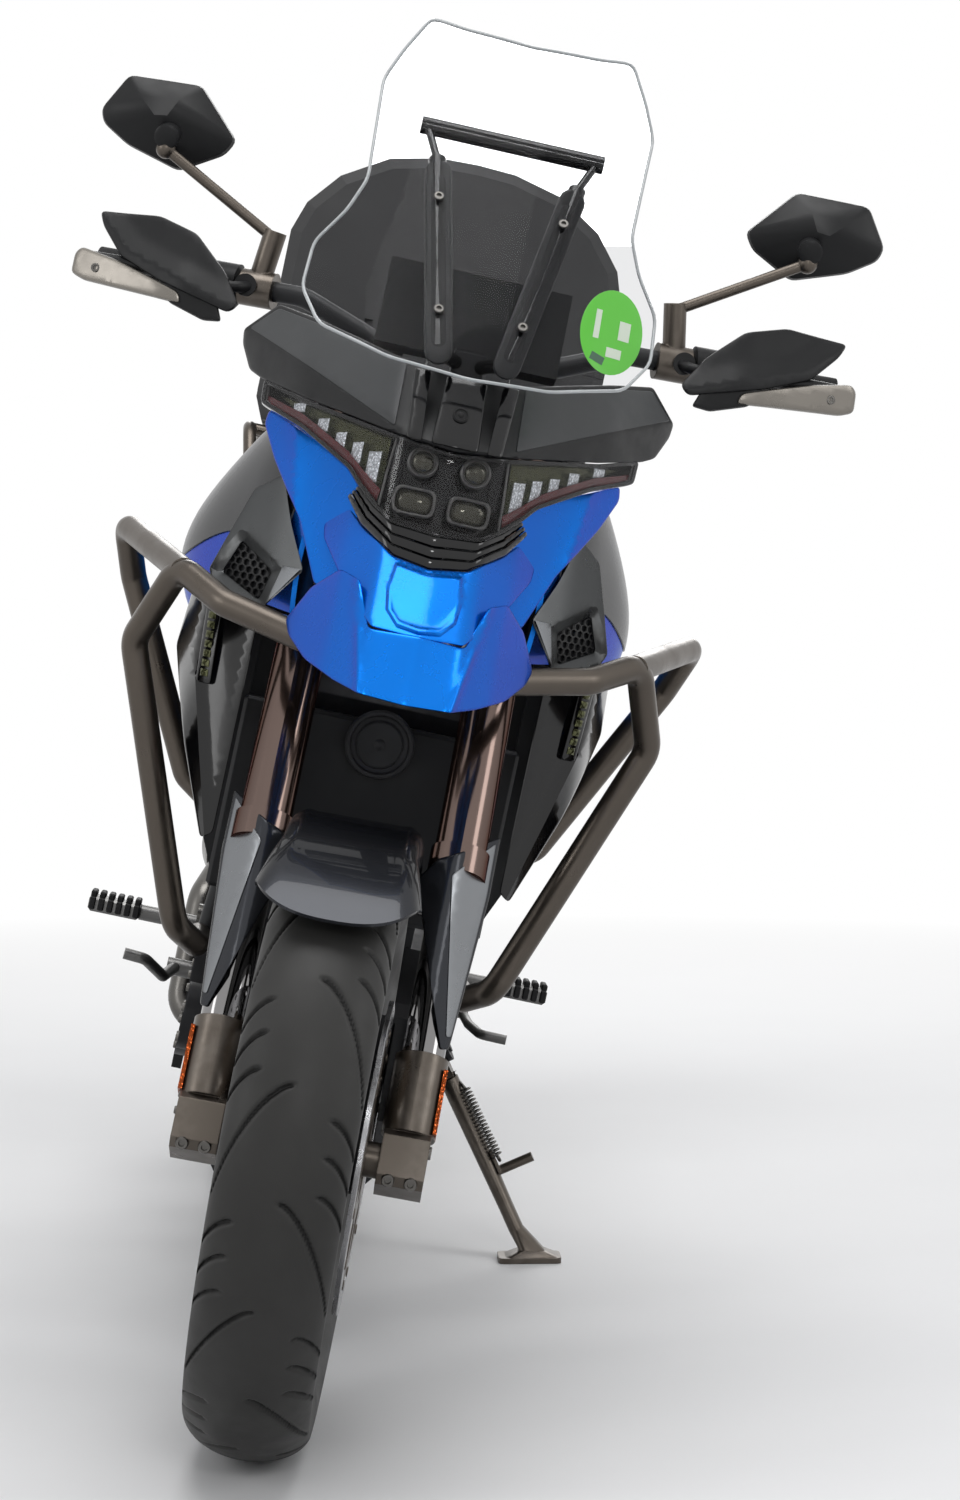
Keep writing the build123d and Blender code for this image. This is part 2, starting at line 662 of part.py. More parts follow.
# ================================================================ side stand
def upright(x, y, z):
    """A point given on the parked machine, brought back to the upright machine."""
    return Vector(x, y, z - lift).rotate(Axis.X, LEAN)


ground_up = Vector(0, -sin(radians(LEAN)), cos(radians(LEAN)))
stand_pivot = Vector(*STAND_PIVOT)
pad_plane = Plane(origin=upright(STAND_FOOT_X, STAND_FOOT_Y, 0), x_dir=(1, 0, 0), z_dir=ground_up)
stand_foot = upright(STAND_FOOT_X, STAND_FOOT_Y - 16, STAND_PAD[2] / 2)
leg_line = (stand_foot - stand_pivot).normalized()
stand_axis = leg_line.cross(Vector(*STAND_FOLDED)).normalized()
EAR = 7.0
BOSS_RADIUS = 17.0
STAND_PIN = 7.0
with BuildPart() as pad:
    with BuildSketch(pad_plane):
        RectangleRounded(STAND_PAD[0], STAND_PAD[1], 10)
    extrude(amount=STAND_PAD[2])
stand_boss = rod(stand_pivot - stand_axis * 8, stand_pivot + stand_axis * 8, BOSS_RADIUS)
stand_leg = rod(stand_pivot + leg_line * (BOSS_RADIUS + 14), stand_foot, STAND_LEG_RADIUS)
with BuildPart() as neck:
    with BuildSketch(Plane(origin=stand_pivot, x_dir=stand_axis, z_dir=leg_line)):
        Rectangle(16, 2 * STAND_LEG_RADIUS)
    extrude(amount=BOSS_RADIUS + 20)
tang = rod(
    stand_pivot + leg_line * 205, stand_pivot + leg_line * 205 + Vector(-30, 46, 16), 5.0
)
below_ground = block((-400.0, -300.0, -200.0 - lift), (300.0, 500.0, -lift)).rotate(Axis.X, LEAN)
stand_bore = rod(stand_pivot - stand_axis * 30, stand_pivot + stand_axis * 30, STAND_PIN + RUNNING_GAP)
side_stand = joined(pad.part, stand_boss, neck.part, stand_leg, tang, minus=[stand_bore, below_ground])
ear_gap = 8 + SEAM_GAP
ears = joined(
    rod(stand_pivot - stand_axis * (ear_gap + EAR), stand_pivot - stand_axis * ear_gap, BOSS_RADIUS),
    rod(stand_pivot + stand_axis * ear_gap, stand_pivot + stand_axis * (ear_gap + EAR), BOSS_RADIUS),
)
stand_pin = rod(
    stand_pivot - stand_axis * (ear_gap + EAR + 3), stand_pivot + stand_axis * (ear_gap + EAR + 3), STAND_PIN
)
ear_foot = Vector(stand_pivot.X, ARM_INNER + ARM_WIDTH + PLATE_GAP + PLATE_THICKNESS - 2, stand_pivot.Z + 26)
ear_arms = joined(
    rod(stand_pivot - stand_axis * (ear_gap + EAR / 2), ear_foot, EAR),
    rod(stand_pivot + stand_axis * (ear_gap + EAR / 2), ear_foot, EAR),
    minus=[rod(stand_pivot - stand_axis * ear_gap, stand_pivot + stand_axis * ear_gap, BOSS_RADIUS + 3)],
)
stand_bracket = [ears, stand_pin, ear_arms]


# ================================================================ frame
PLATE_INNER = ARM_INNER + ARM_WIDTH + PLATE_GAP
PLATE_OUTER = PLATE_INNER + PLATE_THICKNESS
swing_pivot = Vector(PIVOT_X, 0, PIVOT_HEIGHT)
head_low = along_fork(LOWER_CLAMP_HEIGHT) + CLAMP_THICKNESS + HEAD_GAP
head_high = along_fork(UPPER_CLAMP_HEIGHT) - HEAD_GAP
with BuildPart() as head_tube:
    with BuildSketch(fork_base.offset(head_low)):
        with Locations((-fork_offset, 0)):
            Circle(HEAD_TUBE_RADIUS)
    extrude(amount=head_high - head_low)
with BuildPart() as head_bore:
    with BuildSketch(fork_base.offset(head_low - 1)):
        with Locations((-fork_offset, 0)):
            Circle(STEM_RADIUS + RUNNING_GAP)
    extrude(amount=head_high - head_low + 2)
head_middle_height = (LOWER_CLAMP_HEIGHT + CLAMP_THICKNESS / 2 + UPPER_CLAMP_HEIGHT) / 2
head_middle = Vector(steer_x(head_middle_height), 0, head_middle_height)
SPAR_POINTS = [(head_middle.X - 7, 12.0, head_middle.Z - 2), (290.0, 92.0, 862.0), (0.0, 128.0, 640.0), (-150.0, 144.0, 500.0)]
DOWN_TUBE_POINTS = [(296.0, 90.0, 866.0), (330.0, 112.0, 700.0), (318.0, 138.0, 430.0)]
PIVOT_PLATE = [
    (-232.0, 330.0),
    (-222.0, 236.0),
    (-100.0, 214.0),
    (-62.0, 300.0),
    (-72.0, 480.0),
    (-112.0, 560.0),
    (-190.0, 560.0),
    (-232.0, 430.0),
]
plate = side_prism(PIVOT_PLATE, PLATE_INNER, PLATE_OUTER)
pivot_hole = rod((PIVOT_X, PLATE_INNER - 1, PIVOT_HEIGHT), (PIVOT_X, PLATE_OUTER + 1, PIVOT_HEIGHT), PIVOT_RADIUS)
spar = bar(SPAR_POINTS, SPAR_RADIUS, 90.0)
down_tube = bar(DOWN_TUBE_POINTS, RAIL_RADIUS, 80.0)
engine_lugs = joined(
    rod((290.0, ENGINE_HALF_WIDTH, 440.0), (290.0, PLATE_INNER, 440.0), 14.0),
    rod((290.0, PLATE_INNER, 440.0), (318.0, PLATE_INNER, 440.0), 10.0),
    rod((-90.0, ENGINE_HALF_WIDTH, 300.0), (-90.0, PLATE_INNER, 300.0), 14.0),
)
frame_side = joined(spar, down_tube, plate, engine_lugs)
frame_bores = [head_bore.part, pair(pivot_hole)]
main_frame = joined(head_tube.part, pair(frame_side), *stand_bracket, minus=frame_bores)

SUBFRAME_RAIL = [(-60.0, 108.0, 660.0), (-400.0, 95.0, 768.0), (-790.0, 85.0, 836.0)]
SUBFRAME_STAY = [(-166.0, 132.0, 574.0), (-330.0, 100.0, 690.0), (-560.0, 92.0, 790.0)]
subframe_side = joined(bar(SUBFRAME_RAIL, RAIL_RADIUS, 120.0), bar(SUBFRAME_STAY, RAIL_RADIUS - 2, 120.0))
subframe = joined(
    pair(subframe_side),
    rod((-215.0, -103.0, 709.0), (-215.0, 103.0, 709.0), RAIL_RADIUS),
    rod((-780.0, -86.0, 834.0), (-780.0, 86.0, 834.0), RAIL_RADIUS - 2),
    rod((-560.0, -92.0, 796.0), (-560.0, 92.0, 796.0), RAIL_RADIUS - 2),
    minus=[main_frame],
)

# ================================================================ engine
CRANKCASE = [
    (-105.0, 330.0),
    (-92.0, 250.0),
    (-40.0, 215.0),
    (240.0, 215.0),
    (302.0, 262.0),
    (306.0, 400.0),
    (272.0, 458.0),
    (60.0, 474.0),
    (-60.0, 462.0),
    (-105.0, 420.0),
]
CYLINDER = [(100.0, 455.0), (268.0, 445.0), (300.0, 640.0), (142.0, 662.0)]
HEAD = [(136.0, 655.0), (308.0, 632.0), (322.0, 720.0), (290.0, 752.0), (180.0, 766.0), (148.0, 740.0)]
CYLINDER_HALF_WIDTH = 88.0
HEAD_HALF_WIDTH = 98.0
FRONT_SPROCKET = Vector(-60.0, SPROCKET_OFFSET, PIVOT_HEIGHT + 5)
sprocket_bay = block((-120.0, SPROCKET_OFFSET - CHAIN_WIDTH, 330.0), (20.0, 200.0, 480.0))
crankcase = side_prism(CRANKCASE, -ENGINE_HALF_WIDTH, ENGINE_HALF_WIDTH)
COVERS = [
    # x, height, radius, side, proud
    (95.0, 350.0, 88.0, -1, 22.0),
    (195.0, 320.0, 62.0, 1, 24.0),
    (245.0, 330.0, 38.0, -1, 20.0),
]
covers = [
    rod((x, side * (ENGINE_HALF_WIDTH - 2), z), (x, side * (ENGINE_HALF_WIDTH + proud), z), radius)
    for x, z, radius, side, proud in COVERS
]
engine = joined(
    crankcase,
    side_prism(CYLINDER, -CYLINDER_HALF_WIDTH, CYLINDER_HALF_WIDTH),
    side_prism(HEAD, -HEAD_HALF_WIDTH, HEAD_HALF_WIDTH),
    *covers,
    minus=[sprocket_bay, main_frame],
)
sprocket_shaft = rod(
    (FRONT_SPROCKET.X, SPROCKET_OFFSET - CHAIN_WIDTH, FRONT_SPROCKET.Z),
    (FRONT_SPROCKET.X, SPROCKET_OFFSET + SPROCKET_THICKNESS / 2, FRONT_SPROCKET.Z),
    12.0,
)
front_sprocket = joined(
    sprocket_shaft,
    rod(
        (FRONT_SPROCKET.X, SPROCKET_OFFSET - SPROCKET_THICKNESS / 2, FRONT_SPROCKET.Z),
        (FRONT_SPROCKET.X, SPROCKET_OFFSET + SPROCKET_THICKNESS / 2, FRONT_SPROCKET.Z),
        FRONT_SPROCKET_RADIUS,
    ),
)
chain_plane = Plane(origin=(0, SPROCKET_OFFSET + CHAIN_WIDTH / 2, 0), x_dir=(1, 0, 0), z_dir=(0, -1, 0))
with BuildPart() as chain_loop:
    with BuildSketch(chain_plane):
        with Locations((rear_axle.X, rear_axle.Z)):
            Circle(SPROCKET_RADIUS + CHAIN_GAP + CHAIN_HEIGHT)
        with Locations((FRONT_SPROCKET.X, FRONT_SPROCKET.Z)):
            Circle(FRONT_SPROCKET_RADIUS + CHAIN_GAP + CHAIN_HEIGHT)
        make_hull()
    extrude(amount=CHAIN_WIDTH)
    with BuildSketch(chain_plane):
        with Locations((rear_axle.X, rear_axle.Z)):
            Circle(SPROCKET_RADIUS + CHAIN_GAP)
        with Locations((FRONT_SPROCKET.X, FRONT_SPROCKET.Z)):
            Circle(FRONT_SPROCKET_RADIUS + CHAIN_GAP)
        make_hull()
    extrude(amount=CHAIN_WIDTH, mode=Mode.SUBTRACT)
chain = chain_loop.part

# radiator between the down tubes and the front wheel
RADIATOR_LOW = (384.0, -150.0, 496.0)
RADIATOR_HIGH = (420.0, 150.0, 704.0)
radiator_core = joined(
    block(RADIATOR_LOW, RADIATOR_HIGH, 4.0),
    rod((324.0, -112.0, 690.0), (390.0, -112.0, 690.0), 7.0),
    rod((324.0, 112.0, 690.0), (390.0, 112.0, 690.0), 7.0),
    minus=[main_frame],
)
RADIATOR_WING = [(146.0, 505.0), (170.0, 560.0), (192.0, 680.0), (196.0, 800.0), (146.0, 800.0)]
radiator_wing = front_prism(RADIATOR_WING, RADIATOR_LOW[0] + 2, RADIATOR_LOW[0] + 7)
HORN_CENTRE = (446.0, 0.0, 682.0)
HORN_RADIUS = 36.0
horn = joined(
    rod((HORN_CENTRE[0] - 18, 0, HORN_CENTRE[2]), HORN_CENTRE, HORN_RADIUS),
    rod((HORN_CENTRE[0] - 12, 0, HORN_CENTRE[2]), (HORN_CENTRE[0] + 4, 0, HORN_CENTRE[2]), HORN_RADIUS - 12),
    rod((RADIATOR_HIGH[0] - 2, 0, HORN_CENTRE[2]), (HORN_CENTRE[0] - 17, 0, HORN_CENTRE[2]), 9.0),
)
radiator = joined(radiator_core, horn, pair(radiator_wing))

# exhaust: two headers, a collector under the engine and a raised silencer
HEADER_POINTS = [(300.0, 46.0, 690.0), (350.0, 46.0, 672.0), (352.0, 46.0, 250.0), (290.0, 46.0, 186.0), (-60.0, 40.0, 186.0)]
LINK_POINTS = [(-300.0, -90.0, 215.0), (-335.0, -158.0, 262.0), (-372.0, -159.0, 400.0), (-436.0, -140.0, 446.0)]
HEADER_RADIUS = 18.0
header = bar(HEADER_POINTS, HEADER_RADIUS, 46.0)
exhaust_pipes = joined(
    pair(header),
    block((-315.0, -105.0, 160.0), (-58.0, 70.0, 245.0), 14.0),
    bar(LINK_POINTS, HEADER_RADIUS + 1, 34.0),
    minus=[engine],
)
SILENCER_START = Vector(-432.0, -140.0, 452.0)
SILENCER_END = Vector(-810.0, -140.0, 566.0)
SILENCER_HALF_WIDTH = 37.0
SILENCER_HALF_HEIGHT = 58.0
silencer_plane = Plane(origin=SILENCER_START, x_dir=(0, 1, 0), z_dir=SILENCER_END - SILENCER_START)
silencer_length = (SILENCER_END - SILENCER_START).length
with BuildPart() as silencer_body:
    with BuildSketch(silencer_plane):
        Ellipse(SILENCER_HALF_WIDTH * 0.7, SILENCER_HALF_HEIGHT * 0.6)
    with BuildSketch(silencer_plane.offset(60)):
        Ellipse(SILENCER_HALF_WIDTH, SILENCER_HALF_HEIGHT)
    loft()
    with BuildSketch(silencer_plane.offset(60)):
        Ellipse(SILENCER_HALF_WIDTH, SILENCER_HALF_HEIGHT)
    extrude(amount=silencer_length - 60)
    with BuildSketch(silencer_plane.offset(silencer_length - 80)):
        Circle(22)
    extrude(amount=81, mode=Mode.SUBTRACT)
silencer = joined(silencer_body.part, minus=[exhaust_pipes])

# ================================================================ rear suspension
ARM_PROFILE = [
    (PIVOT_X + 26, PIVOT_HEIGHT + 26),
    (PIVOT_X + 26, PIVOT_HEIGHT - 26),
    (rear_axle.X + 60, rear_axle.Z - 24),
    (rear_axle.X - 45, rear_axle.Z - 24),
    (rear_axle.X - 45, rear_axle.Z + 20),
    (rear_axle.X + 60, rear_axle.Z + 24),
]
arm = side_prism(ARM_PROFILE, ARM_INNER, ARM_INNER + ARM_WIDTH)
crossbeam = block((-335.0, -ARM_INNER, 346.0), (-250.0, ARM_INNER, 400.0))
shock_lug = block((-292.0, -16.0, 380.0), (-250.0, 16.0, 440.0))
rear_axle_bore = rod((rear_axle.X, -200, rear_axle.Z), (rear_axle.X, 200, rear_axle.Z), AXLE_RADIUS)
pivot_bore = rod((PIVOT_X, -200, PIVOT_HEIGHT), (PIVOT_X, 200, PIVOT_HEIGHT), PIVOT_RADIUS)
pivot_tube = rod((PIVOT_X, -ARM_INNER, PIVOT_HEIGHT), (PIVOT_X, ARM_INNER, PIVOT_HEIGHT), PIVOT_RADIUS + 7)
swingarm = joined(pair(arm), crossbeam, shock_lug, pivot_tube, minus=[rear_axle_bore, pivot_bore])
pivot_shaft = rod(
    (PIVOT_X, -PLATE_OUTER - 8, PIVOT_HEIGHT), (PIVOT_X, PLATE_OUTER + 8, PIVOT_HEIGHT), PIVOT_RADIUS, bore=8.0
)
axle_half = ARM_INNER + ARM_WIDTH + 10
rear_axle_shaft = joined(
    rod(
        (rear_axle.X, -axle_half, rear_axle.Z),
        (rear_axle.X, axle_half, rear_axle.Z),
        AXLE_RADIUS,
        bore=REAR_AXLE_BORE,
    ),
    rod((rear_axle.X, 106, rear_axle.Z), (rear_axle.X, ARM_INNER, rear_axle.Z), AXLE_RADIUS + 5, AXLE_RADIUS - 1),
    rod((rear_axle.X, -ARM_INNER, rear_axle.Z), (rear_axle.X, -78, rear_axle.Z), AXLE_RADIUS + 5, AXLE_RADIUS - 1),
)
SHOCK_TOP = Vector(-215.0, 0.0, 696.0)
SHOCK_FOOT = Vector(-270.0, 0.0, 440.0)
shock_line = SHOCK_FOOT - SHOCK_TOP
COILS = 8
with BuildPart() as shock_body:
    add(rod(SHOCK_TOP, SHOCK_FOOT, 18.0))
    for turn in range(COILS):
        spot = SHOCK_TOP + shock_line * (0.2 + 0.7 * turn / (COILS - 1))
        add(rod(spot, spot + shock_line.normalized() * 12, 32.0))
shock = joined(shock_body.part, minus=[subframe, swingarm])
rear_caliper = joined(
    block(
        (rear_axle.X + 10, -REAR_DISC_OFFSET - 22, rear_axle.Z + 70),
        (rear_axle.X + 90, -REAR_DISC_OFFSET + 16, rear_axle.Z + 126),
        6.0,
    ),
    block(
        (rear_axle.X + 30, -ARM_INNER, rear_axle.Z - 10),
        (rear_axle.X + 66, -REAR_DISC_OFFSET - 12, rear_axle.Z + 90),
    ),
    minus=[
        rod(
            (rear_axle.X, -REAR_DISC_OFFSET - DISC_THICKNESS / 2 - 2, rear_axle.Z),
            (rear_axle.X, -REAR_DISC_OFFSET + DISC_THICKNESS / 2 + 2, rear_axle.Z),
            REAR_DISC_RADIUS + 5,
        )
    ],
)
chain_guard = joined(
    side_prism([(-250.0, 452.0), (-250.0, 458.0), (-640.0, 446.0), (-640.0, 440.0)], 84.0, 120.0),
    block((-420.0, ARM_INNER, 380.0), (-380.0, ARM_INNER + 5, 452.0)),
    minus=[swingarm, chain],
)

# ================================================================ tank, seats and tail
def section_loft(stations):
    """A faceted solid through closed sections, each a station with left-and-up points."""
    with BuildPart() as solid:
        for station, outline in stations:
            with BuildSketch(Plane.YZ.offset(station)):
                with BuildLine():
                    Polyline(*outline, close=True)
                make_face()
        loft(ruled=True)
    return solid.part


# tank sections: station, bottom half-width and height, shoulder half-width and height, crown half-width and height
TANK = [
    (300.0, 66.0, 872.0, 100.0, 905.0, 66.0, 962.0),
    (236.0, 84.0, 852.0, 140.0, 930.0, 84.0, 1034.0),
    (60.0, 84.0, 800.0, 150.0, 920.0, 70.0, 1040.0),
    (-20.0, 84.0, 790.0, 104.0, 860.0, 44.0, 950.0),
]
fuel_tank = section_loft(
    [
        (x, mirrored([(low_y, low_z), (mid_y, mid_z), (top_y, top_z)]))
        for x, low_y, low_z, mid_y, mid_z, top_y, top_z in TANK
    ]
)
fuel_tank = joined(fuel_tank, minus=[main_frame, side_prism([(240, 600), (240, 860), (310, 890), (400, 600)], -115, 115)])
fuel_tank = joined(fuel_tank, rod((140.0, 0.0, 1030.0), (140.0, 0.0, 1046.0), 46.0))

# painted side shrouds: station, top, middle and bottom edges of the outer skin as left and up
SHROUD = [
    (600.0, 112.0, 925.0, 125.0, 880.0, 122.0, 800.0),
    (450.0, 166.0, 985.0, 190.0, 900.0, 188.0, 806.0),
    (250.0, 200.0, 960.0, 254.0, 862.0, 232.0, 776.0),
    (60.0, 166.0, 950.0, 222.0, 870.0, 204.0, 796.0),
]
SHROUD_WALL = 6.0
tank_shroud = section_loft(
    [
        (
            x,
            [
                (top_y, top_z),
                (mid_y, mid_z),
                (low_y, low_z),
                (low_y - SHROUD_WALL, low_z),
                (mid_y - SHROUD_WALL, mid_z),
                (top_y - SHROUD_WALL, top_z - SHROUD_WALL),
            ],
        )
        for x, top_y, top_z, mid_y, mid_z, low_y, low_z in SHROUD
    ]
)
shroud_tab = joined(block((120.0, 112.0, 880.0), (160.0, 226.0, 900.0)), minus=[fuel_tank])
tank_shrouds = pair(joined(tank_shroud, shroud_tab & block((100.0, 0.0, 800.0), (200.0, 226.0, 1000.0))))

SEAT_HALF_WIDTH = 132.0
RIDER_SEAT = [
    (-26.0, 868.0),
    (-80.0, 842.0),
    (-300.0, 832.0),
    (-392.0, 852.0),
    (-420.0, 888.0),
    (-430.0, 800.0),
    (-28.0, 792.0),
]
PILLION_SEAT = [
    (-430.0, 896.0),
    (-560.0, 906.0),
    (-760.0, 912.0),
    (-790.0, 884.0),
    (-786.0, 862.0),
    (-438.0, 804.0),
]
PILLION_HALF_WIDTH = 108.0
rider_seat = side_prism(RIDER_SEAT, -SEAT_HALF_WIDTH, SEAT_HALF_WIDTH)
pillion_seat = side_prism(PILLION_SEAT, -PILLION_HALF_WIDTH, PILLION_HALF_WIDTH)

TAIL_PANEL = [(-60.0, 700.0), (-430.0, 752.0), (-860.0, 812.0), (-900.0, 868.0), (-800.0, 876.0), (-440.0, 800.0), (-60.0, 786.0)]
TAIL_SIDE = 122.0
tail_panel = side_prism(TAIL_PANEL, TAIL_SIDE, TAIL_SIDE + PANEL_WALL)
tail_cap = block((-905.0, -TAIL_SIDE, 816.0), (-862.0, TAIL_SIDE, 868.0))
tail_web = block((-866.0, -TAIL_SIDE, 812.0), (-788.0, TAIL_SIDE, 818.0))
tail_fairing = joined(pair(tail_panel), tail_cap, tail_web, minus=[subframe])
tail_light = block((-917.0, -86.0, 824.0), (-905.0, 86.0, 862.0), 3.0)
PLATE_ARM = [(-800.0, 812.0), (-866.0, 812.0), (-930.0, 700.0), (-1004.0, 560.0), (-996.0, 556.0), (-918.0, 700.0), (-850.0, 780.0)]
PLATE_LINE = [(-958.0, 726.0), (-1032.0, 560.0)]
plate_arm = joined(
    side_prism(PLATE_ARM, -52.0, 52.0),
    rod((-930.0, -135.0, 745.0), (-930.0, 135.0, 745.0), 7.0),
    rod((-930.0, 0.0, 745.0), (-900.0, 0.0, 745.0), 7.0),
    minus=[tail_web, tail_cap],
)
with BuildPart() as indicator:
    with Locations((-936.0, 158.0, 745.0)):
        Box(34.0, 52.0, 26.0)
    chamfer(indicator.edges(), length=5)
blank_plate = side_prism([(-938.0, 724.0), (-1006.0, 592.0), (-1010.0, 592.0), (-942.0, 724.0)], -92.0, 92.0)
plate_stay = block((-980.0, -20.0, 640.0), (-950.0, 20.0, 668.0))
plate_bracket = joined(plate_arm, pair(indicator.part), blank_plate, plate_stay)

# rack loop around the tail and the case on it
RACK_RADIUS = 9.0
RACK_POINTS = [
    (-516.0, 98.0, 792.0),
    (-540.0, 214.0, 940.0),
    (-600.0, 234.0, 1028.0),
    (-850.0, 234.0, 1032.0),
    (-900.0, 150.0, 1032.0),
    (-900.0, 0.0, 1032.0),
]
rack_half = bar(RACK_POINTS, RACK_RADIUS, 34.0)
rack_leg = bar([(-740.0, 98.0, 840.0), (-740.0, 150.0, 940.0), (-740.0, 160.0, 1032.0)], RACK_RADIUS, 50.0)
rear_rack = joined(
    pair(rack_half),
    pair(rack_leg),
    rod((-640.0, -234.0, 1029.0), (-640.0, 234.0, 1029.0), RACK_RADIUS - 1),
    rod((-740.0, -234.0, 1031.0), (-740.0, 234.0, 1031.0), RACK_RADIUS - 1),
    block((-900.0, -110.0, 1034.0), (-630.0, 110.0, 1044.0)),
    minus=[subframe, tail_fairing, pillion_seat],
)
CASE_FRONT = -622.0
CASE_BACK = -1012.0
CASE_LOW = 1044.0
CASE_SEAM = 1200.0
CASE_PROFILE = [(222.0, CASE_LOW), (235.0, CASE_LOW + 30), (236.0, 1310.0), (222.0, 1352.0), (184.0, 1398.0), (122.0, 1436.0), (54.0, 1452.0), (0.0, 1454.0)]
case_outline = mirrored([(0.0, 1454.0)] + CASE_PROFILE[-2::-1] + [(0.0, CASE_LOW)])
with BuildPart() as case_shell:
    add(front_prism(case_outline, CASE_BACK, CASE_FRONT))
    chamfer(case_shell.edges().filter_by(Axis.Y, reverse=True).group_by(Axis.X)[0], length=24)
    chamfer(case_shell.edges().filter_by(Axis.Y, reverse=True).group_by(Axis.X)[-1], length=16)
CASE_WIDE = 470.0
case_box = case_shell.part
case_inner = joined(
    front_prism(
        [(y * (1 - 2 * CASE_WALL / CASE_WIDE), z - CASE_WALL if z > CASE_SEAM else z + CASE_WALL) for y, z in case_outline],
        CASE_BACK + 24,
        CASE_FRONT - 16,
    )
)
below_seam = block((CASE_BACK - 5, -300.0, CASE_LOW - 5), (CASE_FRONT + 5, 300.0, CASE_SEAM - SEAM_GAP / 2))
above_seam = block((CASE_BACK - 5, -300.0, CASE_SEAM + SEAM_GAP / 2), (CASE_FRONT + 5, 300.0, 1500.0))
HINGE_RADIUS = 7.0
HINGE_PIN = 3.0
hinge_x = CASE_FRONT + HINGE_RADIUS + 1
HINGE_SIDE = 110.0
hinge_sleeves = pair(
    rod((hinge_x, HINGE_SIDE, CASE_SEAM), (hinge_x, HINGE_SIDE + 50, CASE_SEAM), HINGE_RADIUS, HINGE_PIN + RUNNING_GAP)
)
hinge_leaf_high = pair(
    block(
        (CASE_FRONT - 2, HINGE_SIDE, CASE_SEAM + 1),
        (hinge_x - HINGE_PIN - 1, HINGE_SIDE + 50, CASE_SEAM + 18),
    )
)
hinge_pins = pair(
    rod((hinge_x, HINGE_SIDE - 8, CASE_SEAM), (hinge_x, HINGE_SIDE + 58, CASE_SEAM), HINGE_PIN)
)
hinge_ears = pair(
    joined(
        block((CASE_FRONT - 2, HINGE_SIDE - 8, CASE_SEAM - 18), (hinge_x + 4, HINGE_SIDE - 1, CASE_SEAM + 4)),
        block((CASE_FRONT - 2, HINGE_SIDE + 51, CASE_SEAM - 18), (hinge_x + 4, HINGE_SIDE + 58, CASE_SEAM + 4)),
    )
)
ear_room = pair(
    joined(
        block((CASE_FRONT - 10, HINGE_SIDE - 12, CASE_SEAM - 1), (hinge_x + 8, HINGE_SIDE - 0.4, CASE_SEAM + 11)),
        block(
            (CASE_FRONT - 10, HINGE_SIDE + 50.4, CASE_SEAM - 1), (hinge_x + 8, HINGE_SIDE + 62, CASE_SEAM + 11)
        ),
    )
)
top_case_base = joined(case_box & below_seam, hinge_pins, hinge_ears, minus=[case_inner])
top_case_lid = joined(
    case_box & above_seam,
    hinge_sleeves,
    hinge_leaf_high,
    block((CASE_BACK - 6, -34.0, CASE_SEAM + 4), (CASE_BACK + 2, 34.0, CASE_SEAM + 40)),
    minus=[case_inner, hinge_pins, ear_room],
)

# ================================================================ nose
NOSE_BEAM = 16.0
nose_spine = side_prism(
    [
        (head_middle.X + 25, head_middle.Z + 10),
        (head_middle.X + 33, head_middle.Z - 18),
        (head_middle.X + 153, head_middle.Z - 21),
        (610.0, 900.0),
        (656.0, 792.0),
        (668.0, 792.0),
        (640.0, 930.0),
        (640.0, 1090.0),
        (622.0, 1090.0),
        (612.0, 968.0),
    ],
    -NOSE_BEAM,
    NOSE_BEAM,
)
nose_frame = joined(
    nose_spine,
    rod((628.0, -112.0, 1010.0), (628.0, 112.0, 1010.0), 8.0),
    minus=[main_frame],
)

# crash bars: columns are forward, left and up
CRASH_HOOP = [
    (658.0, 0.0, 778.0),
    (652.0, 104.0, 779.0),
    (612.0, 188.0, 796.0),
    (556.0, 240.0, 822.0),
    (500.0, 274.0, 738.0),
    (462.0, 172.0, 452.0),
    (408.0, 146.0, 430.0),
    (322.0, 146.0, 430.0),
]
CRASH_WING = [(560.0, 236.0, 818.0), (372.0, 312.0, 852.0), (336.0, 296.0, 800.0), (322.0, 196.0, 600.0), (318.0, 138.0, 560.0)]
crash_side = joined(bar(CRASH_HOOP, CRASH_BAR_RADIUS, 30.0), bar(CRASH_WING, CRASH_BAR_RADIUS, 22.0))
crash_bars = joined(pair(crash_side), minus=[main_frame, nose_frame, engine])

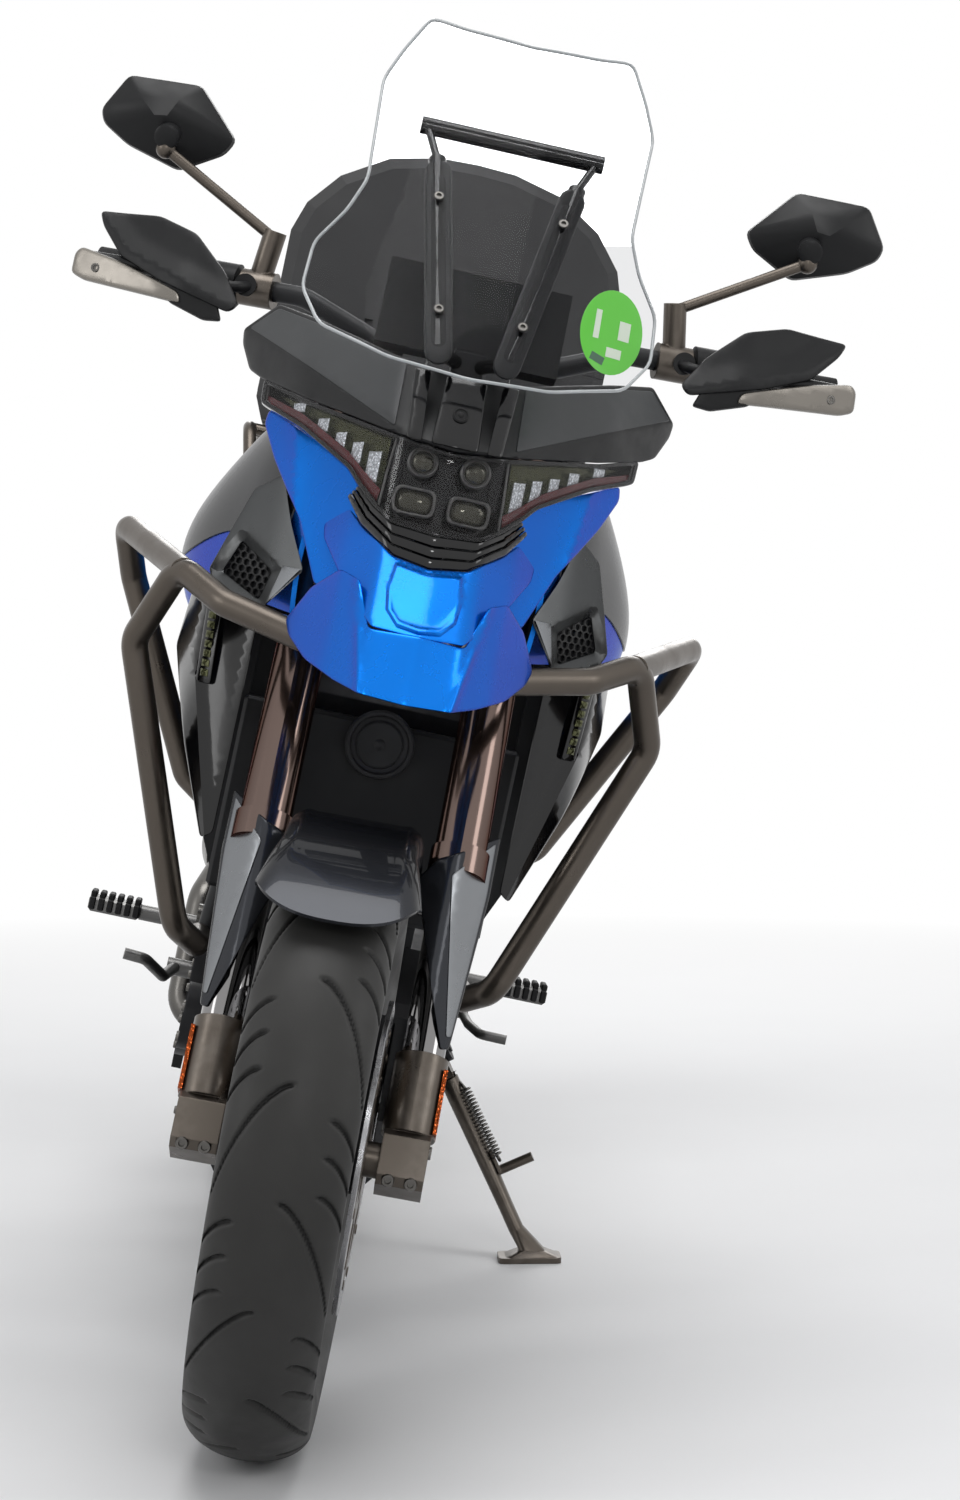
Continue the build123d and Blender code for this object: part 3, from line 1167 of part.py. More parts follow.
# windshield: a bent sheet with a waisted outline, as left and up
SCREEN_OUTLINE = [
    (0.0, 1418.0),
    (70.0, 1423.0),
    (107.0, 1430.0),
    (142.0, 1355.0),
    (136.0, 1242.0),
    (150.0, 1205.0),
    (175.0, 1167.0),
    (177.0, 1118.0),
    (153.0, 1083.0),
    (80.0, 1062.0),
    (0.0, 1056.0),
]
SCREEN_FOOT = 748.0
SCREEN_SWEEP = 62.0
SCREEN_REACH = 180.0
SCREEN_SLOPE = -0.62
screen_low = min(z for y, z in SCREEN_OUTLINE)
screen_high = max(z for y, z in SCREEN_OUTLINE)
screen_travel = Vector(SCREEN_SLOPE, 0, 1) * (screen_high - screen_low)
with BuildPart() as screen_sheet:
    with BuildSketch(Plane.XY.offset(screen_low)):
        with BuildLine():
            side_x = SCREEN_FOOT - SCREEN_SWEEP
            ThreePointArc((side_x, -SCREEN_REACH), (SCREEN_FOOT, 0), (side_x, SCREEN_REACH))
            Line((side_x, SCREEN_REACH), (side_x - SCREEN_WALL, SCREEN_REACH))
            ThreePointArc(
                (side_x - SCREEN_WALL, SCREEN_REACH),
                (SCREEN_FOOT - SCREEN_WALL, 0),
                (side_x - SCREEN_WALL, -SCREEN_REACH),
            )
            Line((side_x - SCREEN_WALL, -SCREEN_REACH), (side_x, -SCREEN_REACH))
        make_face()
    extrude(amount=screen_travel.length, dir=screen_travel.normalized())
windshield = screen_sheet.part & front_prism(mirrored(SCREEN_OUTLINE), 200.0, 900.0)


def screen_x(left, height):
    """The back of the windshield at a place left of the middle and up from the ground."""
    return SCREEN_FOOT - SCREEN_WALL + SCREEN_SLOPE * (height - screen_low) - SCREEN_SWEEP * (left / SCREEN_REACH) ** 2


RAIL_TOP = (72.0, 1276.0)
RAIL_FOOT = (35.0, 1080.0)
RAIL_DEPTH = 9.0
rail_points = [
    (screen_x(RAIL_TOP[0], RAIL_TOP[1]) - RAIL_DEPTH - 1, RAIL_TOP[0], RAIL_TOP[1]),
    (screen_x(RAIL_FOOT[0], RAIL_FOOT[1]) - RAIL_DEPTH - 1, RAIL_FOOT[0], RAIL_FOOT[1]),
]
screen_rail = bar(rail_points, RAIL_DEPTH, 1.0)
CROSSBAR_HEIGHT = 1312.0
crossbar_x = screen_x(95.0, CROSSBAR_HEIGHT) - 16
screen_bracket = joined(
    pair(screen_rail),
    rod((crossbar_x, -95.0, CROSSBAR_HEIGHT), (crossbar_x, 95.0, CROSSBAR_HEIGHT), 9.0),
    pair(rod((crossbar_x, 88.0, CROSSBAR_HEIGHT), rail_points[0], 4.0)),
    pair(rod(rail_points[1], (634.0, 12.0, 1078.0), 7.0)),
    minus=[nose_frame, windshield],
)

# cowl around the headlight, then the headlight and the black chin under it
COWL_PLAN = [(752.0, 0.0), (742.0, 52.0), (632.0, 160.0), (556.0, 212.0), (534.0, 226.0)]
COWL_OUTLINE = [
    (0.0, 1062.0),
    (60.0, 1068.0),
    (150.0, 1096.0),
    (212.0, 1107.0),
    (227.0, 1091.0),
    (225.0, 1046.0),
    (200.0, 1029.0),
    (150.0, 1013.0),
    (52.0, 991.0),
    (0.0, 985.0),
]
cowl = joined(panel(COWL_PLAN, 12.0, COWL_OUTLINE, -0.55), minus=[nose_frame])
LAMP_PLAN = [(756.0, 0.0), (748.0, 50.0), (660.0, 122.0), (548.0, 200.0)]
LAMP_OUTLINE = [
    (0.0, 984.0),
    (52.0, 990.0),
    (150.0, 1012.0),
    (197.0, 1028.0),
    (196.0, 1004.0),
    (189.0, 1000.0),
    (150.0, 984.0),
    (95.0, 951.0),
    (82.0, 936.0),
    (64.0, 919.0),
    (44.0, 906.0),
    (0.0, 902.0),
]
LENS_WALL = 5.0
LAMP_DEPTH = 46.0
headlight_lens = panel(LAMP_PLAN, LENS_WALL, LAMP_OUTLINE, -0.12)
headlight_housing = panel([(x - LENS_WALL - 0.5, y) for x, y in LAMP_PLAN], LAMP_DEPTH, LAMP_OUTLINE, -0.12)
CHIN_OUTLINE = [(0.0, 902.0), (44.0, 906.0), (64.0, 919.0), (82.0, 936.0), (90.0, 924.0), (72.0, 900.0), (37.0, 876.0), (0.0, 870.0)]
CHIN_PLAN = [(766.0, 0.0), (756.0, 46.0), (700.0, 92.0)]
nose_chin = panel(CHIN_PLAN, 40.0, CHIN_OUTLINE, -0.12)
headlight_housing = joined(headlight_housing, nose_chin, minus=[nose_frame, cowl, headlight_lens])

# beak: the nose panel over the lip and its wings
BIB_OUTLINE = [(0.0, 869.5), (37.0, 875.5), (72.0, 899.5), (100.0, 930.0), (112.0, 925.0), (104.0, 880.0), (70.0, 830.0), (44.0, 806.0), (0.0, 804.0)]
BIB_PLAN = [(846.0, 0.0), (838.0, 46.0), (790.0, 84.0), (740.0, 112.0)]
LIP_OUTLINE = [(0.0, 806.0), (46.0, 804.0), (62.0, 846.0), (82.0, 853.0), (106.0, 830.0), (124.0, 794.0), (118.0, 780.0), (99.0, 762.0), (70.0, 750.0), (43.0, 743.0), (0.0, 741.0)]
LIP_PLAN = [(876.0, 0.0), (866.0, 44.0), (812.0, 82.0), (716.0, 126.0)]
bib = panel(BIB_PLAN, PANEL_WALL, BIB_OUTLINE, -1.0)
lip = panel(LIP_PLAN, PANEL_WALL, LIP_OUTLINE, -0.45)

# cheeks fill the nose from the bib back to the shrouds, under the headlight
CHEEK_PLAN = [(735.0, 70.0), (680.0, 112.0), (635.0, 150.0), (575.0, 190.0)]
CHEEK_OUTLINE = [
    (186.0, 1000.0),
    (95.0, 957.0),
    (80.0, 934.0),
    (72.0, 880.0),
    (74.0, 836.0),
    (104.0, 833.0),
    (131.0, 893.0),
    (150.0, 920.0),
    (170.0, 950.0),
    (188.0, 985.0),
]
CHEEK_SLOPE = -0.45
cheek = panel(CHEEK_PLAN, PANEL_WALL, CHEEK_OUTLINE, CHEEK_SLOPE, across=False)
beak = joined(bib, lip, pair(cheek), minus=[crash_bars, nose_frame, headlight_housing, tank_shrouds])

# silver air inlets with their grilles
INLET_PLAN = [(646.0, 114.0), (604.0, 150.0), (474.0, 216.0)]
INLET_OUTLINE = [(157.0, 937.0), (184.0, 918.0), (214.0, 826.0), (205.0, 812.0), (150.0, 798.0), (117.0, 844.0), (138.0, 887.0)]
GRILLE_OUTLINE = [(185.0, 862.0), (199.0, 826.0), (155.0, 806.0), (148.0, 837.0)]
inlet = panel(INLET_PLAN, 14.0, INLET_OUTLINE, -0.4, across=False)
grille_hole = front_prism(GRILLE_OUTLINE, 300.0, 800.0)
grille = panel([(x - 9.0, y) for x, y in INLET_PLAN], 5.0, GRILLE_OUTLINE, -0.4, across=False)
air_inlets = pair(joined(joined(inlet, minus=[grille_hole]), grille, minus=[tank_shroud, cheek]))

FAIRING_PLAN = [(520.0, 150.0), (474.0, 210.0), (380.0, 236.0)]
FAIRING_OUTLINE = [
    (152.0, 796.0),
    (205.0, 810.0),
    (228.0, 800.0),
    (234.0, 740.0),
    (200.0, 640.0),
    (164.0, 552.0),
    (152.0, 560.0),
]
fairing = panel(FAIRING_PLAN, PANEL_WALL, FAIRING_OUTLINE, 0.0, across=False)
fairing_tab = block((428.0, 178.0, 784.0), (466.0, 213.0, 812.0))
side_fairings = pair(joined(fairing, fairing_tab, minus=[tank_shrouds, air_inlets, crash_bars]))
dashboard = joined(
    side_prism([(500.0, 1086.0), (484.0, 1090.0), (462.0, 1176.0), (500.0, 1182.0), (524.0, 1092.0)], -96.0, 96.0),
    block((500.0, -14.0, 1070.0), (622.0, 14.0, 1094.0)),
    minus=[nose_frame],
)

# ================================================================ pegs, controls and guards
PEG = (-190.0, 384.0)
peg_arm = rod((PEG[0], PLATE_OUTER, PEG[1]), (PEG[0], 230.0, PEG[1]), 10.0)
with BuildPart() as tread:
    with Locations((PEG[0], 262.0, PEG[1])):
        Box(34.0, 66.0, 20.0)
    chamfer(tread.edges(), length=4)
footpegs = pair(joined(peg_arm, tread.part))
brake_pedal = bar([(-150.0, -172.0, 330.0), (-40.0, -182.0, 330.0), (6.0, -206.0, 352.0), (8.0, -232.0, 354.0)], 7.0, 12.0)
shift_lever = bar([(-140.0, 190.0, 350.0), (-60.0, 196.0, 346.0), (-4.0, 208.0, 344.0), (0.0, 240.0, 344.0)], 6.0, 12.0)
foot_controls = joined(
    footpegs,
    brake_pedal,
    shift_lever,
    rod((-150.0, -PLATE_OUTER, 330.0), (-150.0, -182.0, 330.0), 11.0),
    rod((-140.0, PLATE_OUTER, 350.0), (-140.0, 198.0, 350.0), 9.0),
)
SKID_PROFILE = [(-50.0, 146.0), (-50.0, 150.0), (306.0, 150.0), (398.0, 270.0), (402.0, 267.0), (308.0, 146.0)]
skid_plate = joined(
    side_prism(SKID_PROFILE, -112.0, 112.0),
    block((40.0, -112.0, 150.0), (60.0, -104.0, 216.0)),
    block((40.0, 104.0, 150.0), (60.0, 112.0, 216.0)),
    minus=[engine],
)

# ================================================================ nodes
CHASSIS = {
    "main_frame": main_frame,
    "subframe": subframe,
    "engine": engine,
    "chain_drive": joined(chain, front_sprocket),
    "radiator": radiator,
    "exhaust_pipes": exhaust_pipes,
    "silencer": silencer,
    "swingarm": joined(swingarm, chain_guard),
    "rear_shafts": joined(pivot_shaft, rear_axle_shaft),
    "shock": shock,
    "rear_caliper": rear_caliper,
    "fuel_tank": fuel_tank,
    "tank_shrouds": tank_shrouds,
    "seats": joined(rider_seat, pillion_seat),
    "tail_fairing": tail_fairing,
    "tail_light": tail_light,
    "plate_bracket": plate_bracket,
    "rear_rack": rear_rack,
    "top_case_base": top_case_base,
    "top_case_lid": top_case_lid,
    "nose_frame": nose_frame,
    "crash_bars": crash_bars,
    "windshield": windshield,
    "screen_bracket": screen_bracket,
    "cowl": cowl,
    "headlight_lens": headlight_lens,
    "headlight_housing": headlight_housing,
    "beak": beak,
    "air_inlets": air_inlets,
    "side_fairings": side_fairings,
    "dashboard": dashboard,
    "foot_controls": foot_controls,
    "skid_plate": skid_plate,
    "side_stand": side_stand,
    "rear_tyre": rear_tyre,
    "rear_rim": rear_rim,
    "rear_disc": rear_disc,
    "sprocket": sprocket.part,
}
STEERED = {
    "fork_uppers": fork_uppers,
    "fork_tubes": fork_tubes,
    "fork_feet": fork_feet,
    "fork_reflectors": fork_reflectors,
    "front_calipers": front_calipers,
    "front_fender": front_fender,
    "triple_clamps": triple_clamps,
    "handlebar": handlebar,
    "grips": grips,
    "bar_controls": bar_controls,
    "mirror_shells": mirror_shells,
    "mirror_glasses": mirror_glasses,
    "mirror_stems": mirror_stems,
    "guard_arms": guard_arms,
    "hand_guards": hand_guards,
    "front_tyre": front_tyre,
    "front_rim": front_rim,
    "front_discs": front_discs,
}
steering_axis = Axis(steer_foot, fork_up)
placed = {}
for name, piece in CHASSIS.items():
    placed[name] = piece.rotate(Axis.X, -LEAN)
for name, piece in STEERED.items():
    placed[name] = piece.rotate(steering_axis, -PARKED_STEER).rotate(Axis.X, -LEAN)

# the origin is the middle of the bounding box at ground level
boxes = [piece.bounding_box() for piece in placed.values()]
middle_x = (min(box.min.X for box in boxes) + max(box.max.X for box in boxes)) / 2
middle_y = (min(box.min.Y for box in boxes) + max(box.max.Y for box in boxes)) / 2
to_origin = Location((-middle_x, -middle_y, lift))

os.makedirs("parts", exist_ok=True)
for name, piece in placed.items():
    piece = piece.moved(to_origin)
    piece.label = name
    export_step(piece, f"parts/{name}.step")
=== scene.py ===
"""Looks of the adventure motorcycle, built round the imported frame.

The frame is in metres. Points of pieces are millimetres on the upright machine.
"""
import json
import math

import bmesh
import bpy
import numpy as np
from mathutils import Matrix, Vector
from mathutils.geometry import delaunay_2d_cdt


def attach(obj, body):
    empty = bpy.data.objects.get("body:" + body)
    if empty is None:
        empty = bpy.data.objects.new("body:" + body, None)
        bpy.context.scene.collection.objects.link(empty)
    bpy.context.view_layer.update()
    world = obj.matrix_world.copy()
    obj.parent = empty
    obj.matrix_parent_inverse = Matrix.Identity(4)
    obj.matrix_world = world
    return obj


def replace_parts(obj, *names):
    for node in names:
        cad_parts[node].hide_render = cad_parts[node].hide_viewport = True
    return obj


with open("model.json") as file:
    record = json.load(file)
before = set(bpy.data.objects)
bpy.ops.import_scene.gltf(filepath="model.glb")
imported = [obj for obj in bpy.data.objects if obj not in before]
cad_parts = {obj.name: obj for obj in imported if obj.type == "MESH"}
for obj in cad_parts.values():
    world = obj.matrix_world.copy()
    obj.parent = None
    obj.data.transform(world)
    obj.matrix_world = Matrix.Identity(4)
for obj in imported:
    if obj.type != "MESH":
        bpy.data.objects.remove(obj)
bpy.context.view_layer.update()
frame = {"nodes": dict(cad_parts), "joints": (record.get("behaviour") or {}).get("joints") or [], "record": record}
NODES = frame["nodes"]
JOINT = {j["name"]: j for j in frame["joints"]}

# ---- where things are
# Points are given on the upright machine: forward, left, up, in millimetres.
LEAN = math.radians(12.04)
STEER = math.radians(4.64)
STEER_FOOT = Vector((0.8575, 0.0, 0.0))
FORK_UP = Vector((-0.430511, 0.0, 0.902585))
FRONT_AXLE = (752.5, 0.0, 300.0)
REAR_AXLE = (-752.5, 0.0, 311.333)
MM = 0.001

leaned = Matrix.Rotation(-LEAN, 4, "X")
turned = (
    Matrix.Translation(STEER_FOOT)
    @ Matrix.Rotation(-STEER, 4, FORK_UP)
    @ Matrix.Translation(-STEER_FOOT)
)
rear_spot = Vector(JOINT["rear_wheel_spin"]["pos_m"])
shift = Matrix.Translation(rear_spot - leaned @ (Vector(REAR_AXLE) * MM))
FIXED = shift @ leaned
STEERED = FIXED @ turned


# ---- camera and light
CAMERA_SPOT = Vector((3.7428, 0.0662, 0.8360))
CAMERA_YAW = math.radians(-3.17)
CAMERA_PITCH = math.radians(3.00)
CAMERA_ROLL = math.radians(0.22)
CAMERA_LIFT = 0.0011
SENSOR_HEIGHT = 24.0
FOCAL_PIXELS = 3116.7
PICTURE_HEIGHT = 1500.0

camera_data = bpy.data.cameras.new("camera")
camera_data.sensor_fit = "VERTICAL"
camera_data.sensor_height = SENSOR_HEIGHT
camera_data.lens = FOCAL_PIXELS / PICTURE_HEIGHT * SENSOR_HEIGHT
camera_data.clip_end = 100.0
camera = bpy.data.objects.new("camera", camera_data)
bpy.context.scene.collection.objects.link(camera)
ahead = Vector(
    (
        -math.cos(CAMERA_PITCH) * math.cos(CAMERA_YAW),
        -math.cos(CAMERA_PITCH) * math.sin(CAMERA_YAW),
        -math.sin(CAMERA_PITCH),
    )
)
right = ahead.cross(Vector((0, 0, 1))).normalized()
above = right.cross(ahead)
roll_cos, roll_sin = math.cos(CAMERA_ROLL), math.sin(CAMERA_ROLL)
side = right * roll_cos + above * roll_sin
top = above * roll_cos - right * roll_sin
turn = Matrix((side, top, -ahead)).transposed().to_4x4()
place = CAMERA_SPOT + Vector((shift.translation.x, shift.translation.y, CAMERA_LIFT))
camera.matrix_world = Matrix.Translation(place) @ turn
bpy.context.scene.camera = camera
bpy.context.scene.view_settings.view_transform = "Standard"


def lamp(name, at, towards, size, power):
    """A soft rectangular studio lamp."""
    data = bpy.data.lights.new(name, "AREA")
    data.shape = "RECTANGLE"
    data.size, data.size_y = size
    data.energy = power
    lit = bpy.data.objects.new(name, data)
    bpy.context.scene.collection.objects.link(lit)
    line = Vector(towards) - Vector(at)
    lit.matrix_world = Matrix.Translation(at) @ line.to_track_quat("-Z", "Y").to_matrix().to_4x4()


# name, place, what it looks at, size and power
lamp("lamp_top", (0.8, 0.0, 4.2), (0.2, 0.0, 0.6), (2.6, 2.2), 80)
lamp("lamp_left", (2.2, 3.6, 2.4), (0.3, 0.0, 0.8), (1.2, 2.0), 26)
lamp("lamp_right", (2.2, -3.6, 2.4), (0.3, 0.0, 0.8), (1.2, 2.0), 26)
lamp("lamp_front", (5.0, 0.4, 2.6), (0.3, 0.0, 0.8), (0.8, 0.5), 22)
lamp("lamp_back", (-3.6, 0.6, 2.4), (0.0, 0.0, 0.7), (2.4, 1.6), 46)


# ---- materials
class Maker:
    """Short names for putting nodes into one material."""

    def __init__(self, name):
        self.name = name
        self.material = bpy.data.materials.new(name)
        self.material.use_nodes = True
        self.tree = self.material.node_tree
        self.shader = self.tree.nodes["Principled BSDF"]
        self.texture = self.add("ShaderNodeTexCoord").outputs["Object"]

    def put(self, socket, value):
        if isinstance(value, bpy.types.NodeSocket):
            self.tree.links.new(value, socket)
        else:
            socket.default_value = value

    def named(self, node, sockets):
        """Values for sockets by name, an underscore standing for a space."""
        for key, value in sockets.items():
            self.put(node.inputs[key.replace("_", " ")], value)
        return node

    def add(self, kind, **sockets):
        return self.named(self.tree.nodes.new(kind), sockets)

    def finish(self, **sockets):
        self.named(self.shader, sockets)

    def numbered(self, kind, values, places=range(9), **settings):
        """A node with its settings made, and values put in at numbered sockets."""
        node = self.tree.nodes.new(kind)
        for key, value in settings.items():
            setattr(node, key, value)
        for place, value in zip(places, values):
            self.put(node.inputs[place], value)
        return node

    def noise(self, scale, detail=3.0):
        sockets = dict(Vector=self.texture, Scale=scale, Detail=detail, Roughness=0.55)
        return self.add("ShaderNodeTexNoise", **sockets).outputs["Fac"]

    def ramp(self, value, low, high, out_low=0.0, out_high=1.0):
        values = (value, low, high, out_low, out_high)
        return self.numbered("ShaderNodeMapRange", values, clamp=True).outputs[0]

    def mix(self, share, first, second):
        return self.numbered("ShaderNodeMix", (share, first, second), (0, 6, 7), data_type="RGBA").outputs[2]

    def times(self, first, second):
        return self.numbered("ShaderNodeMath", (first, second), operation="MULTIPLY").outputs[0]

    def bump(self, height, strength, distance=0.001, normal=None):
        node = self.add("ShaderNodeBump", Height=height, Strength=strength, Distance=distance)
        if normal is not None:
            self.put(node.inputs["Normal"], normal)
        return node.outputs["Normal"]


def tone(colour, factor):
    """A colour made darker or lighter."""
    return tuple(min(1.0, c * factor) for c in colour[:3]) + (1.0,)


def surface(
    name, colour, rough, metal=0.0, coat=0.0, coat_rough=0.03, vary=0.18, vary_scale=9.0,
    rough_vary=0.08, grain=0.0, grain_scale=900.0, wear=0.0, wear_colour=None, specular=0.5,
    edge=0.0, painted_grazing_shade=None, rim=None, hollow=0.0,
):
    """A hard finish: drifting colour, uneven roughness, fine grain, painted shade in hollows and worn edges.

    The colour given for grazing angles is painted shade, and rim tints the reflection there; faces turned to the
    camera get a lighter painted highlight, and edge rounds by so many metres.
    """
    m = Maker(name)
    shade = m.mix(m.noise(vary_scale), tone(colour, 1 - vary), tone(colour, 1 + vary))
    # Faces turned to the camera get a lighter copy of the colour and grazing faces a darker colour: painted
    # highlight and painted shade.
    if painted_grazing_shade:
        facing = m.add("ShaderNodeLayerWeight", Blend=0.35).outputs["Facing"]
        painted_light = m.mix(m.noise(vary_scale), tone(colour, 1.15), tone(colour, 1.35))
        shade = m.mix(m.ramp(facing, 0.05, 0.85), painted_light, painted_grazing_shade)
    if hollow or wear:
        bent = m.add("ShaderNodeNewGeometry").outputs["Pointiness"]
    # Hollows are darkened towards near black: painted shade.
    if hollow:
        shade = m.mix(m.ramp(bent, 0.455, 0.492, hollow, 0.0), shade, tone(colour, 0.12))
    if wear:
        scuff = m.times(m.ramp(bent, 0.53, 0.60), m.ramp(m.noise(60.0), 0.35, 0.7))
        bare = tone(wear_colour, 1.0) if wear_colour else tone(colour, 2.2)
        shade = m.mix(m.times(scuff, wear), shade, bare)
    low, high = max(0.02, rough - rough_vary), min(1.0, rough + rough_vary)
    m.finish(
        Base_Color=shade, Roughness=m.ramp(m.noise(26.0, 4.0), 0.3, 0.7, low, high), Metallic=metal,
        Coat_Weight=coat, Coat_Roughness=coat_rough, Specular_IOR_Level=specular,
    )
    if rim:
        m.finish(Specular_Tint=rim)
    normal = None
    if edge:
        round_edge = m.numbered("ShaderNodeBevel", (edge,), samples=3)
        normal = round_edge.outputs["Normal"]
        if coat:
            m.finish(Coat_Normal=normal)
    if grain:
        normal = m.bump(m.noise(grain_scale, 2.0), grain, 0.0004, normal)
    if normal is not None:
        m.finish(Normal=normal)
    return m


def brushed(name, colour, rough, stretch=(1.0, 1.0, 40.0)):
    """Metal with fine lines drawn along it."""
    m = surface(name, colour, rough, metal=1.0, vary=0.12)
    scaled = m.add("ShaderNodeMapping", Vector=m.texture, Scale=stretch).outputs[0]
    lines = m.add("ShaderNodeTexNoise", Vector=scaled, Scale=60.0, Detail=4.0).outputs["Fac"]
    m.finish(Normal=m.bump(lines, 0.25, 0.0003))
    return m


def clear(name, colour, coat):
    """Clear moulded plastic with a faint smear over it, and no refraction."""
    m = Maker(name)
    smear = m.ramp(m.noise(7.0, 5.0), 0.45, 0.75, 0.0, 0.12)
    m.finish(
        Base_Color=m.mix(smear, colour, tone(colour, 0.82)),
        Roughness=m.ramp(m.noise(30.0, 4.0), 0.4, 0.8, 0.01, 0.04),
        Transmission_Weight=1.0, IOR=1.0, Alpha=0.30, Coat_Weight=coat,
    )
    return m


def painted_glints(name, colour, strength, cell):
    """A faceted lamp reflector with painted glints: bright cells of lighter colour that glow."""
    m = Maker(name)
    cells = m.add("ShaderNodeTexVoronoi", Vector=m.texture, Scale=cell).outputs["Distance"]
    painted_light = m.ramp(cells, 0.0, 0.6, 1.0, 0.25)
    m.finish(
        Base_Color=m.mix(painted_light, tone(colour, 0.35), colour),
        Roughness=m.ramp(m.noise(80.0), 0.3, 0.7, 0.12, 0.25),
        Metallic=0.8, Emission_Color=m.mix(painted_light, (0, 0, 0, 1), colour), Emission_Strength=strength,
        Normal=m.bump(cells, 0.5, 0.001),
    )
    return m


